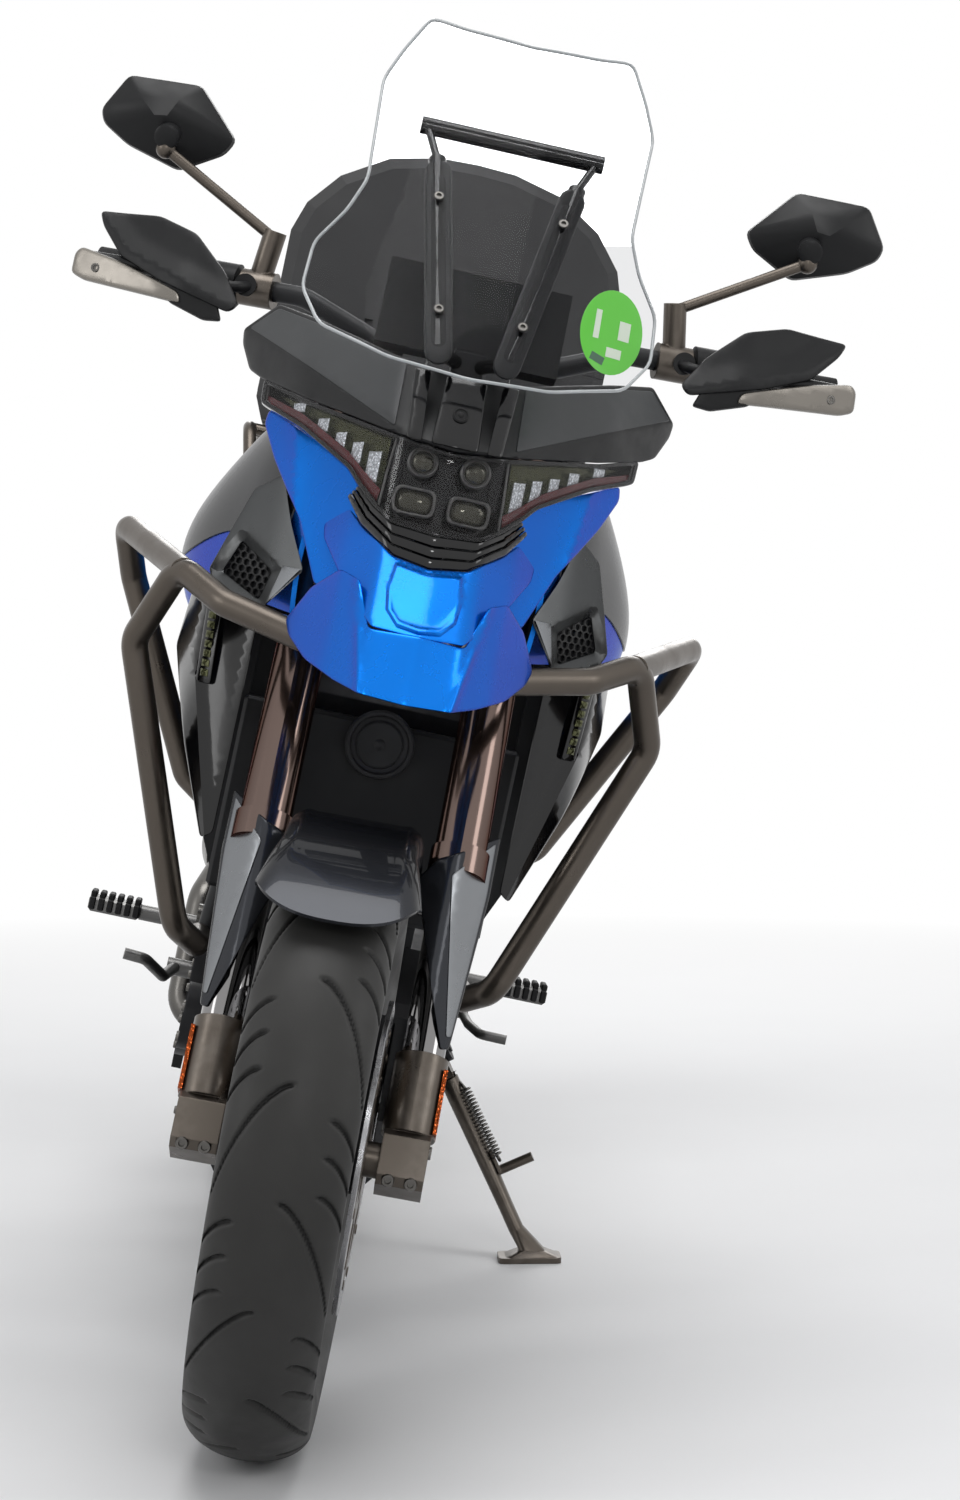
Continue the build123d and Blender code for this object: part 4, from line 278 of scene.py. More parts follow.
LOOKS = [
    surface("frame_black", (0.010, 0.0105, 0.012, 1), 0.45, wear=0.2, grain=0.08, edge=0.002, specular=0.28),
    surface(
        "bronze", (0.098, 0.084, 0.071, 1), 0.33, metal=0.9, wear=0.3, wear_colour=(0.2, 0.18, 0.16, 1),
        grain=0.06, grain_scale=500, edge=0.002,
    ),
    # The blue, graphite, silver and fork brown below are lighter facing the camera and darker at grazing angles:
    # painted highlight and painted shade.
    surface(
        "blue", (0.002, 0.15, 0.60, 1), 0.27, metal=0.65, coat=0.16, vary=0.06, rough_vary=0.02, specular=0.1,
        painted_grazing_shade=(0.0006, 0.018, 0.15, 1), rim=(0.1, 0.3, 1, 1),
    ),
    surface(
        "graphite", (0.030, 0.032, 0.037, 1), 0.25, metal=0.5, coat=0.3, vary=0.1, rough_vary=0.02,
        painted_grazing_shade=(0.006, 0.0065, 0.009, 1), specular=0.15, rim=(0.15, 0.15, 0.17, 1),
    ),
    surface(
        "silver", (0.15, 0.155, 0.157, 1), 0.32, metal=0.8, vary=0.08, grain=0.04,
        painted_grazing_shade=(0.018, 0.019, 0.02, 1), rim=(0.3, 0.3, 0.3, 1),
    ),
    # A lighter copy of the silver, for painted highlights on lit facets of the inlets and spats.
    surface(
        "painted_highlight_silver", (0.24, 0.25, 0.262, 1), 0.3, metal=0.8, vary=0.08, painted_grazing_shade=(0.09, 0.09, 0.095, 1),
        rim=(0.3, 0.3, 0.3, 1),
    ),
    surface("silver_arm", (0.20, 0.185, 0.165, 1), 0.33, metal=0.85, vary=0.08, grain=0.06, wear=0.15),
    surface(
        "black_plastic", (0.0075, 0.0078, 0.0085, 1), 0.42, vary=0.15, grain=0.12, grain_scale=1500,
        wear=0.12, specular=0.22,
    ),
    # A lighter copy of the black plastic, for painted highlights on the cowl's upper facets.
    surface(
        "painted_highlight_plastic", (0.034, 0.036, 0.038, 1), 0.36, vary=0.15, grain=0.1, grain_scale=1500, specular=0.3
    ),
    surface(
        "gloss_black", (0.0025, 0.0025, 0.003, 1), 0.12, coat=0.2, vary=0.2, rough_vary=0.03, specular=0.35
    ),
    surface("red_lens", (0.42, 0.012, 0.012, 1), 0.15, coat=0.8, vary=0.25, vary_scale=120),
    # The orange reflectors glow in bright cells: painted glints.
    painted_glints("orange", (0.42, 0.075, 0.010, 1), 0.05, cell=330.0),
    surface(
        "engine_metal", (0.028, 0.028, 0.030, 1), 0.46, metal=0.6, grain=0.2, grain_scale=700, wear=0.25,
        edge=0.003, specular=0.3,
    ),
    surface(
        "alloy", (0.15, 0.148, 0.145, 1), 0.38, metal=0.9, grain=0.12, grain_scale=600, wear=0.2, edge=0.002
    ),
    surface("chrome", (0.24, 0.235, 0.235, 1), 0.07, metal=1.0, vary=0.05, rough_vary=0.03),
    surface(
        "fork_brown", (0.125, 0.09, 0.078, 1), 0.14, metal=0.95, coat=0.15, vary=0.12, rough_vary=0.03,
        painted_grazing_shade=(0.035, 0.019, 0.016, 1), rim=(0.4, 0.3, 0.28, 1),
    ),
    brushed("steel", (0.12, 0.115, 0.108, 1), 0.32),
    brushed("disc_steel", (0.32, 0.32, 0.33, 1), 0.24, stretch=(40.0, 1.0, 40.0)),
    surface("chain_steel", (0.12, 0.11, 0.095, 1), 0.35, metal=0.9, vary=0.4, vary_scale=60),
    surface("rubber", (0.010, 0.010, 0.0105, 1), 0.62, grain=0.25, grain_scale=800, specular=0.22),
    # The tyre's grooves and hollows are darkened: painted shade.
    surface(
        "tyre", (0.022, 0.0215, 0.0205, 1), 0.5, vary=0.25, vary_scale=22, grain=0.22, grain_scale=1100,
        specular=0.3, hollow=0.95,
    ),
    surface("rim", (0.010, 0.010, 0.011, 1), 0.35, metal=0.3, coat=0.3, wear=0.2, edge=0.002, specular=0.3),
    surface("seat", (0.012, 0.012, 0.013, 1), 0.58, grain=0.45, grain_scale=420, specular=0.26),
    surface("mirror", (0.78, 0.8, 0.82, 1), 0.03, metal=1.0, vary=0.03, rough_vary=0.01),
    clear("clear", (0.50, 0.51, 0.53, 1), 0.12),
    surface(
        "case_plastic", (0.030, 0.030, 0.031, 1), 0.5, vary=0.15, grain=0.15, grain_scale=700, specular=0.35
    ),
    clear("lamp_clear", (0.10, 0.10, 0.11, 1), 0.7),
    # Light grey along the clear screen's edge: a painted highlight.
    surface("screen_edge", (0.36, 0.38, 0.39, 1), 0.25, coat=0.3, vary=0.1, vary_scale=30),
    # The headlight's blocks and reflectors and the running lamps glow in bright cells: painted glints.
    painted_glints("led", (0.86, 0.9, 0.95, 1), 0.55, cell=420.0),
    painted_glints("led_dim", (0.12, 0.125, 0.06, 1), 0.10, cell=240.0),
    surface("lamp_red", (0.13, 0.008, 0.012, 1), 0.2, coat=0.3, vary=0.3, vary_scale=90),
    surface("projector", (0.085, 0.082, 0.060, 1), 0.08, metal=0.6, coat=0.4, vary=0.4, vary_scale=40),
    surface("green", (0.075, 0.44, 0.020, 1), 0.38, vary=0.06, coat=0.2, coat_rough=0.2),
    surface("label", (0.55, 0.62, 0.52, 1), 0.4, vary=0.06),
    surface("ink", (0.03, 0.09, 0.05, 1), 0.4, vary=0.1),
    surface("display", (0.004, 0.006, 0.010, 1), 0.08, coat=0.8, vary=0.3, vary_scale=14),
]
look = {maker.name: maker.material for maker in LOOKS}

slot_of = {p["node"]: p["material_slot"] for p in frame["record"]["subparts"]}
OTHER_LOOK = {
    "guard_arms": "silver_arm", "top_case_lid": "case_plastic", "top_case_base": "case_plastic",
    "screen_bracket": "gloss_black",
}
for node, cad in NODES.items():
    for holder in cad.material_slots:
        holder.material = look[OTHER_LOOK.get(node, slot_of[node])]


# ---- floor
def floor_material():
    """Pale grey near the machine, fading into the white round it."""
    m = Maker("floor")
    far = m.numbered("ShaderNodeVectorMath", (m.texture,), operation="LENGTH").outputs["Value"]
    fade = m.ramp(far, 1.6, 4.2)
    m.finish(
        Base_Color=m.mix(m.noise(3.0), (0.80, 0.80, 0.805, 1), (0.84, 0.84, 0.845, 1)),
        Roughness=0.6, Specular_IOR_Level=0.15,
    )
    white = m.add("ShaderNodeEmission", Color=(1, 1, 1, 1))
    blend = m.numbered("ShaderNodeMixShader", (fade, m.shader.outputs[0], white.outputs[0]))
    m.put(m.tree.nodes["Material Output"].inputs["Surface"], blend.outputs[0])
    return m.material


bpy.ops.mesh.primitive_circle_add(vertices=96, radius=9.0, fill_type="NGON")
floor = bpy.context.object
floor.name = "floor"
floor.data.materials.append(floor_material())

# The world is white to what the camera sees, mirrors and looks through, and a soft grey light otherwise.
world = bpy.data.worlds.new("studio")
bpy.context.scene.world = world
world.use_nodes = True
air = world.node_tree
backing = air.nodes["Background"]
backing.inputs["Color"].default_value = (0.95, 0.96, 0.98, 1)
backing.inputs["Strength"].default_value = 0.4
shown = air.nodes.new("ShaderNodeBackground")
shown.inputs["Color"].default_value = (1, 1, 1, 1)
ray = air.nodes.new("ShaderNodeLightPath").outputs
seen = ray["Is Camera Ray"]
for kind in ("Is Transmission Ray", "Is Glossy Ray"):
    larger = air.nodes.new("ShaderNodeMath")
    larger.operation = "MAXIMUM"
    air.links.new(seen, larger.inputs[0])
    air.links.new(ray[kind], larger.inputs[1])
    seen = larger.outputs[0]
blend = air.nodes.new("ShaderNodeMixShader")
for number, source in enumerate((seen, backing.outputs[0], shown.outputs[0])):
    air.links.new(source, blend.inputs[number])
air.links.new(blend.outputs[0], air.nodes["World Output"].inputs["Surface"])


# ---- making pieces
def placing(body):
    """Where the upright machine's points go for pieces on a body, the bars being turned."""
    return STEERED if body in ("steering", "front_wheel") else FIXED


def piece(name, verts, faces, material, body="chassis", slot=None, smooth=False):
    """A mesh piece from points of the upright machine in millimetres. Smooth may be a sharp edge's angle."""
    mesh = bpy.data.meshes.new(name)
    where = placing(body)
    mesh.from_pydata([where @ (Vector(v) * MM) for v in verts], [], faces)
    bm = bmesh.new()
    bm.from_mesh(mesh)
    bmesh.ops.recalc_face_normals(bm, faces=bm.faces)
    bm.to_mesh(mesh)
    bm.free()
    mesh.polygons.foreach_set("use_smooth", [bool(smooth)] * len(mesh.polygons))
    if smooth and smooth is not True:
        mesh.set_sharp_from_angle(angle=math.radians(smooth))
    mesh.materials.append(look[material])
    made = bpy.data.objects.new(name, mesh)
    bpy.context.scene.collection.objects.link(made)
    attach(made, body)
    return made


def tube_faces(rows, count, closed=False):
    """Faces between rings of as many points, and the two ends if it isn't closed."""
    faces = []
    for i in range(rows if closed else rows - 1):
        n = (i + 1) % rows
        for k in range(count):
            m = (k + 1) % count
            faces.append([i * count + k, n * count + k, n * count + m, i * count + m])
    if not closed:
        faces.append(list(range(count)))
        faces.append([(rows - 1) * count + k for k in reversed(range(count))])
    return faces


class Shape:
    """Points and faces gathered from several simple forms."""

    def __init__(self):
        self.verts, self.faces = [], []

    def put(self, verts, faces):
        start = len(self.verts)
        self.verts += [tuple(v) for v in verts]
        self.faces += [[i + start for i in f] for f in faces]
        return self

    def sheet(self, outline, front, wall, lift=0.0, **how):
        """A panel seen from the front, moved forward by a lift."""
        return self.put(*sheet(outline, lambda y, z: front(y, z) + lift, wall, **how))

    def ring(self, centre, axis, profile, count=32):
        """A turned form: profile is (radius, distance along the axis)."""
        axis = Vector(axis).normalized()
        first = axis.orthogonal().normalized()
        second = axis.cross(first)
        verts, faces = [], []
        rows = len(profile)
        for i in range(count):
            angle = 2 * math.pi * i / count
            out = first * math.cos(angle) + second * math.sin(angle)
            verts += [Vector(centre) + out * r + axis * h for r, h in profile]
        for i in range(count):
            j = (i + 1) % count
            faces += [
                [i * rows + k, j * rows + k, j * rows + k + 1, i * rows + k + 1] for k in range(rows - 1)
            ]
        faces.append([i * rows for i in range(count)])
        faces.append([i * rows + rows - 1 for i in reversed(range(count))])
        return self.put(verts, faces)

    def hull(self, points):
        """The tight skin round some points."""
        bm = bmesh.new()
        for p in points:
            bm.verts.new(p)
        bmesh.ops.convex_hull(bm, input=bm.verts)
        bm.verts.ensure_lookup_table()
        used = [v for v in bm.verts if v.link_faces]
        order = {v: i for i, v in enumerate(used)}
        self.put([v.co.copy() for v in used], [[order[v] for v in f.verts] for f in bm.faces])
        bm.free()
        return self

    def box(self, centre, half, cut):
        """A box with its edges taken off."""
        points = []
        for signs in ((a, b, c) for a in (-1, 1) for b in (-1, 1) for c in (-1, 1)):
            for drawn_in in range(3):
                sizes = [h if k == drawn_in else h - cut for k, h in enumerate(half)]
                points.append(Vector(centre) + Vector([s * h for s, h in zip(signs, sizes)]))
        return self.hull(points)

    def bolt(self, centre, axis, radius, height):
        """A round head with a round socket sunk in it."""
        axis = Vector(axis).normalized()
        r, h = radius, height
        profile = [(r, 0), (r, h * 0.75), (r * 0.88, h), (r * 0.5, h), (r * 0.45, h * 0.35)]
        return self.ring(Vector(centre) - axis * 0.6, axis, profile, 12)

    def tube(self, points, radius, count, closed=False):
        """A round tube through points."""
        pts = [Vector(p) for p in points]
        verts, last = [], None
        for i, p in enumerate(pts):
            if closed:
                way = pts[(i + 1) % len(pts)] - pts[i - 1]
            else:
                way = pts[min(i + 1, len(pts) - 1)] - pts[max(i - 1, 0)]
            way.normalize()
            if last is None:
                last = way.orthogonal().normalized()
            last = (last - way * last.dot(way)).normalized()
            other = way.cross(last)
            for k in range(count):
                a = 2 * math.pi * k / count
                verts.append(p + (last * math.cos(a) + other * math.sin(a)) * radius)
        return self.put(verts, tube_faces(len(pts), count, closed))

    def mirrored(self):
        """The same on the other side too."""
        other = [(x, -y, z) for x, y, z in self.verts]
        return self.put(other, [f[::-1] for f in self.faces])

    def make(self, name, material, *body, **how):
        return piece(name, self.verts, self.faces, material, *body, **how)


# ---- panels
def eased(table, width, slope=0.0, low=0.0):
    """A forward place from (left, up): a plan of (forward, left), its folds eased, that leans with height."""
    run_on = 90
    xs, ys = np.array(table, float).T
    ys = np.concatenate([[ys[0] - run_on], ys, [ys[-1] + run_on]])
    first = 0.0 if table[0][1] == 0 else (xs[1] - xs[0]) / (ys[2] - ys[1])
    last = (xs[-1] - xs[-2]) / (ys[-2] - ys[-3])
    xs = np.concatenate([[xs[0] - run_on * first], xs, [xs[-1] + run_on * last]])
    spread = np.linspace(-1, 1, 9) * width

    def front(y, z):
        return np.mean([np.interp(np.abs(np.abs(y) + s), ys, xs) for s in spread], 0) + slope * (z - low)

    return front


def whole(half):
    """An outline of both sides from its left half."""
    return list(half) + [(-y, z) for y, z in reversed(half) if y > 0]


def rounded(outline, reach=6.0):
    """An outline with its corners eased."""
    made, count = [], len(outline)
    for i, corner in enumerate(outline):
        here, past, coming = (np.array(p, float) for p in (corner, outline[i - 1], outline[(i + 1) % count]))
        ends = []
        for other in (past, coming):
            way = other - here
            size = np.hypot(*way)
            ends.append(here + way / size * min(reach, 0.4 * size))
        for t in (0.0, 0.33, 0.67, 1.0):
            made.append(ends[0] * (1 - t) ** 2 + here * 2 * t * (1 - t) + ends[1] * t**2)
    return np.array(made)


def oblong(wide, high):
    """The corners of a rectangle round nothing, from its half sizes."""
    return [(-wide, -high), (wide, -high), (wide, high), (-wide, high)]


def divided(line, step, closed=True):
    """A line with points put in so that none are further apart than a step."""
    line = np.array(line, float)
    ends = np.roll(line, -1, 0) if closed else line[1:]
    made = []
    for a, b in zip(line, ends):
        count = max(1, int(np.ceil(np.hypot(*(b - a)) / step)))
        made += [a + (b - a) * k / count for k in range(count)]
    if not closed:
        made.append(line[-1])
    return np.array(made)


def offset(loop, distance):
    """A closed outline moved inwards, or outwards if negative."""
    loop = np.array(loop, float)
    area = np.sum(loop[:, 0] * np.roll(loop[:, 1], -1) - np.roll(loop[:, 0], -1) * loop[:, 1])
    along = np.roll(loop, -1, 0) - np.roll(loop, 1, 0)
    along /= np.maximum(np.hypot(*along.T), 1e-9)[:, None]
    inward = np.stack([-along[:, 1], along[:, 0]], 1) * math.copysign(1, area)
    return loop + inward * distance


def gap_to(points, line, closed=True):
    """How far points lie from a line."""
    line = np.array(line, float)
    a, b = (line, np.roll(line, -1, 0)) if closed else (line[:-1], line[1:])
    way = b - a
    p = points[:, None]
    share = np.clip(((p - a) * way).sum(-1) / np.maximum((way**2).sum(-1), 1e-12), 0, 1)
    return np.sqrt(((p - a - share[..., None] * way) ** 2).sum(-1)).min(1)


def inside(points, loop):
    """Whether points lie within a closed outline."""
    a = np.array(loop, float)
    b = np.roll(a, -1, 0)
    x, y = points[:, 0, None], points[:, 1, None]
    spans = (a[:, 1] > y) != (b[:, 1] > y)
    rise = np.where(b[:, 1] == a[:, 1], 1e-12, b[:, 1] - a[:, 1])
    crossing = (b[:, 0] - a[:, 0]) * (y - a[:, 1]) / rise + a[:, 0]
    return (spans & (x < crossing)).sum(1) % 2 == 1


def fill(outline, holes, folds, step, near):
    """Triangles over an outline, with fine rows beside its edge and rows along folds."""
    loops = [divided(loop, step) for loop in (outline, *holes)]
    points, edges = [], []
    for loop in loops:
        start, count = len(points), len(loop)
        points += list(loop)
        edges += [(start + i, start + (i + 1) % count) for i in range(count)]
    for fold in folds:
        line = divided(fold, step, closed=False)
        start = len(points)
        points += list(line)
        edges += [(start + i, start + i + 1) for i in range(len(line) - 1)]
    low, high = loops[0].min(0), loops[0].max(0)
    across, up = np.meshgrid(np.arange(low[0], high[0], step), np.arange(low[1], high[1], step * 0.87))
    across = across + (np.arange(up.shape[0]) % 2)[:, None] * step / 2
    extra = [(np.stack([across.ravel(), up.ravel()], 1), 0.6 * step)]
    for number, loop in enumerate(loops):
        extra += [(offset(loop, d if number == 0 else -d), 0.8 * d) for d in near]
    for group, clear_by in extra:
        keep = inside(group, loops[0])
        for hole in loops[1:]:
            keep &= ~inside(group, hole)
        for loop in loops:
            keep &= gap_to(group, loop) > clear_by
        points += list(group[keep])
    flat, _, faces, *_ = delaunay_2d_cdt([Vector(p) for p in points], edges, [], 0, 1e-4)
    flat = np.array([tuple(p) for p in flat])
    faces = np.array([f[:3] for f in faces])
    middle = flat[faces].mean(1)
    keep = inside(middle, loops[0])
    for hole in loops[1:]:
        keep &= ~inside(middle, hole)
    faces = faces[keep]
    used, faces = np.unique(faces, return_inverse=True)
    flat, faces = flat[used], faces.reshape(-1, 3)
    return flat, faces, np.min([gap_to(flat, loop) for loop in loops], 0)


def closed_shell(faces, count):
    """Faces of a front, the same faces of its back, and the rim that joins them."""
    seen = {}
    for face in faces:
        for i in range(len(face)):
            a, b = int(face[i]), int(face[(i + 1) % len(face)])
            if (b, a) in seen:
                del seen[b, a]
            else:
                seen[a, b] = True
    rim = [[b, a, a + count, b + count] for a, b in seen]
    return [list(map(int, f)) for f in faces] + [[int(i) + count for i in reversed(f)] for f in faces] + rim


def oriented(flat, faces):
    """Triangles all turned the same way round."""
    a, b, c = (flat[faces[:, k]] for k in range(3))
    turn_way = (b[:, 0] - a[:, 0]) * (c[:, 1] - a[:, 1]) - (b[:, 1] - a[:, 1]) * (c[:, 0] - a[:, 0])
    return np.where((turn_way > 0)[:, None], faces, faces[:, ::-1])


def sheet(outline, front, wall, holes=(), folds=(), step=8.0, ease=2.4, swell=None):
    """A panel seen from the front, its face set by front(left, up) and its edges rounded over."""
    flat, faces, gap = fill(outline, holes, folds, step, (0.35 * ease, ease))
    faces = oriented(flat, faces)
    face_x = front(flat[:, 0], flat[:, 1])
    if swell is not None:
        face_x = face_x + swell(flat)
    drop = ease - np.sqrt(np.maximum(ease**2 - (ease - np.minimum(gap, ease)) ** 2, 0))
    near_face = np.column_stack([face_x - drop, flat])
    far_face = np.column_stack([front(flat[:, 0], flat[:, 1]) - wall, flat])
    return np.vstack([near_face, far_face]).tolist(), closed_shell(faces, len(flat))


def plate(outline, holes, place, thick, step):
    """A flat plate seen from the side: place gives (forward, up) of the middle and how far left it is."""
    flat, faces, gap = fill(outline, holes, (), step, (0.5,))
    faces = oriented(flat, faces)
    middle_x, left, middle_z = place
    drop = np.where(gap < 0.25, 0.4, 0.0)
    sides = []
    for way in (1, -1):
        y = left + way * (thick / 2 - drop)
        sides.append(np.column_stack([flat[:, 0] + middle_x, y, flat[:, 1] + middle_z]))
    return np.vstack(sides).tolist(), closed_shell(faces, len(flat))


def circle(radius, count=48, middle=(0.0, 0.0), wave=0.0, waves=0):
    """Points round a circle, its edge waved if asked."""
    turns = np.linspace(0, 2 * math.pi, count, endpoint=False)
    size = radius + wave * np.cos(turns * waves)
    return np.stack([middle[0] + size * np.cos(turns), middle[1] + size * np.sin(turns)], 1)


def grid_shell(points, wall):
    """A closed shell from a grid of points and how far its inside lies from them, by vectors."""
    rows, columns = points.shape[:2]
    index = np.arange(rows * columns).reshape(rows, columns)
    quads = np.stack([index[:-1, :-1], index[1:, :-1], index[1:, 1:], index[:-1, 1:]], -1).reshape(-1, 4)
    inner = points + wall
    verts = np.vstack([points.reshape(-1, 3), inner.reshape(-1, 3)])
    return verts.tolist(), closed_shell(quads, rows * columns)


def touch(node, start, way, steered=False):
    """Where a line first meets a CAD node, on the upright machine, and the way its surface faces."""
    where = STEERED if steered else FIXED
    cad = NODES[node]
    back = cad.matrix_world.inverted() @ where
    begin = back @ (Vector(start) * MM)
    aim = (back.to_3x3() @ Vector(way)).normalized()
    struck, point, facing, _ = cad.ray_cast(begin, aim)
    if not struck:
        raise ValueError("no surface of %s from %s" % (node, tuple(start)))
    home = where.inverted() @ cad.matrix_world
    return home @ point / MM, (home.to_3x3() @ facing).normalized()


# ---- screen
SCREEN = [
    (0, 1418), (70, 1423), (107, 1430), (128, 1390), (142, 1355), (139, 1300), (136, 1242), (150, 1205),
    (175, 1167), (177, 1118), (153, 1083), (80, 1062), (0, 1056),
]


def screen_front(y, z):
    flare = np.maximum(np.abs(y) - np.interp(z, [1056, 1130, 1242, 1340, 1430], [104, 118, 92, 104, 92]), 0)
    return 748 - 0.62 * (z - 1056) - 62 * (np.abs(y) / 180) ** 2 - 0.16 * flare


screen_edge = rounded(whole(SCREEN), 9)
crease = [(104, 1060), (118, 1130), (92, 1242), (104, 1340), (92, 1424)]
other_crease = [(-y, z) for y, z in crease]
screen = Shape().sheet(screen_edge, screen_front, 3.2, folds=[crease, other_crease], step=10, ease=1.2)
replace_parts(screen.make("screen", "clear", smooth=50), "windshield")
# A light grey tube round the screen's edge: painted highlight.
rim_line = [(screen_front(y, z) - 1.6, y, z) for y, z in divided(screen_edge, 8)]
Shape().tube(rim_line, 1.7, 8, closed=True).make("screen_highlight_rim", "screen_edge", slot="clear", smooth=True)

rails, pads, screws = Shape(), Shape(), Shape()
for way in (1, -1):
    top, foot = np.array((68.5 * way, 1262.0)), np.array((34.0 * way, 1078.0))
    run = (foot - top) / np.hypot(*(foot - top))
    across = np.array((-run[1], run[0]))

    def stadium(half, start, stop):
        """A slot-shaped outline along the rail, from one share of its length to another."""
        a, b = top + (foot - top) * start, top + (foot - top) * stop
        turns = np.linspace(0, math.pi, 9)
        near = [a + across * half * math.cos(t) - run * half * math.sin(t) for t in turns]
        far = [b - across * half * math.cos(t) + run * half * math.sin(t) for t in turns]
        return np.array(near + far)

    rails.sheet(stadium(13.5, 0.0, 1.0), screen_front, 8.0, lift=-4.4, step=9, ease=2.5)
    pads.sheet(stadium(7.5, 0.06, 0.94), screen_front, 3.0, lift=-3.9, step=9, ease=1.5)
    for share in (0.148, 0.778):
        y, z = top + (foot - top) * share
        screws.bolt((float(screen_front(y, z)) + 0.4, y, z), (1, 0, 0.62), 5.2, 3.2)
rails.make("screen_rails", "black_plastic", smooth=40)
pads.make("screen_rail_pads", "rubber", smooth=40)
screws.make("screen_screws", "steel", smooth=35)

STICKER = circle(1.0, 40) * (33, 44) + (131, 1138)
Shape().sheet(STICKER, screen_front, 0.4, lift=0.6, step=9, ease=0.2).make(
    "round_sticker", "green", slot="clear", smooth=True
)
patches = Shape()
for y0, z0, y1, z1 in ((112, 1128, 118, 1158), (138, 1132, 150, 1152), (128, 1112, 144, 1122)):
    loop = [(y0, z0), (y1, z0), (y1, z1), (y0, z1)]
    patches.sheet(loop, screen_front, 0.3, lift=0.9, step=9, ease=0.2)
patches.make("sticker_patches", "label", slot="clear")
BAR = [(112, 1106), (126, 1102), (128, 1110), (114, 1114)]
Shape().sheet(BAR, screen_front, 0.3, lift=0.9, step=9, ease=0.2).make("sticker_bar", "ink", slot="clear")

# ---- cowl and headlight
COWL = [
    (0, 1062), (60, 1068), (150, 1096), (199, 1109), (230, 1077), (228, 1062), (215, 1036), (200, 1028),
    (150, 1013), (52, 991), (0, 985),
]
cowl_plan = eased([(752, 0), (742, 52), (632, 160), (556, 212), (534, 226)], 9, -0.55, 985)


def cowl_front(y, z):
    crest = np.interp(np.abs(y), [52, 230], [992, 1079])
    return cowl_plan(y, z) - 0.35 * np.maximum(z - crest, 0) - 0.5 * np.maximum(crest - z, 0)


folds = [[(60 * way, 996), (150 * way, 1040), (227 * way, 1078)] for way in (1, -1)]
cowl = Shape().sheet(rounded(whole(COWL), 4), cowl_front, 10, folds=folds, step=9, ease=3)
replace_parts(cowl.make("cowl_skin", "black_plastic", smooth=38), "cowl")
# Lighter bands above the cowl's folds: painted highlight on its upper facets.
band = rounded([(60, 999), (150, 1043), (224, 1079), (198, 1104), (150, 1091), (60, 1064)], 3)
Shape().sheet(band, cowl_front, 2.0, lift=1.4, step=8, ease=1.0).mirrored().make(
    "cowl_highlight_bands", "painted_highlight_plastic", slot="black_plastic", smooth=38
)
trim = Shape()
trim.sheet(rounded([(-23, 989), (23, 989), (20, 1058), (-20, 1058)], 4), cowl_plan, 8, lift=7, step=7, ease=2)
for way in (1, -1):
    rib = [(32 * way, 989), (47 * way, 990), (52 * way, 1060), (36 * way, 1060)]
    trim.sheet(rounded(rib, 3), cowl_plan, 7, lift=5, step=7, ease=1.6)
trim.make("cowl_trim", "gloss_black", smooth=38)
sensor_at = Vector((float(cowl_plan(0, 1021)) + 7, 0, 1021))
SENSOR = [(8, -2), (8, 1.6), (6.6, 2.4), (5.6, 1.2), (3.2, 1.4), (2.2, 2.6), (0.4, 3.0)]
Shape().ring(sensor_at, (1, 0, 0.55), SENSOR, 28).make("nose_sensor", "rubber", smooth=40)

LAMP = [
    (0, 984), (52, 990), (150, 1012), (197, 1028), (196, 1004), (189, 1000), (150, 984), (95, 951),
    (82, 936), (64, 919), (44, 906), (0, 902),
]
lamp_front = eased([(756, 0), (748, 50), (660, 122), (548, 200)], 9, -0.12, 902)
lamp_edge = rounded(whole(LAMP), 5)
glass = Shape().sheet(lamp_edge, lamp_front, 1.8, step=10, ease=1.0)
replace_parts(glass.make("lamp_glass", "lamp_clear", smooth=40), "headlight_lens")
body = Shape()
body.sheet(lamp_edge, lamp_front, 10, lift=-30, step=12, ease=1.0)
body.sheet(lamp_edge, lamp_front, 30, lift=-2.2, holes=[offset(lamp_edge, 4.0)], step=10, ease=0.8)
chin_front = eased([(766, 0), (756, 46), (700, 92)], 7, -0.12, 870)
chin_high = np.array([(0, 902), (44, 906), (64, 919), (82, 936)], float)
chin_low = np.array([(0, 870), (37, 876), (72, 900), (90, 924)], float)
for start, stop, lift in ((0.0, 0.30, -7.0), (0.34, 0.64, -3.5), (0.68, 1.0, 0.0)):
    upper, lower = chin_high + (chin_low - chin_high) * start, chin_high + (chin_low - chin_high) * stop
    loop = [tuple(p) for p in upper] + [tuple(p) for p in lower[::-1]]
    body.sheet(rounded(whole(loop), 2), chin_front, 22, lift=lift, step=8, ease=1.8)
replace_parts(body.make("lamp_body", "gloss_black", smooth=38), "headlight_housing")

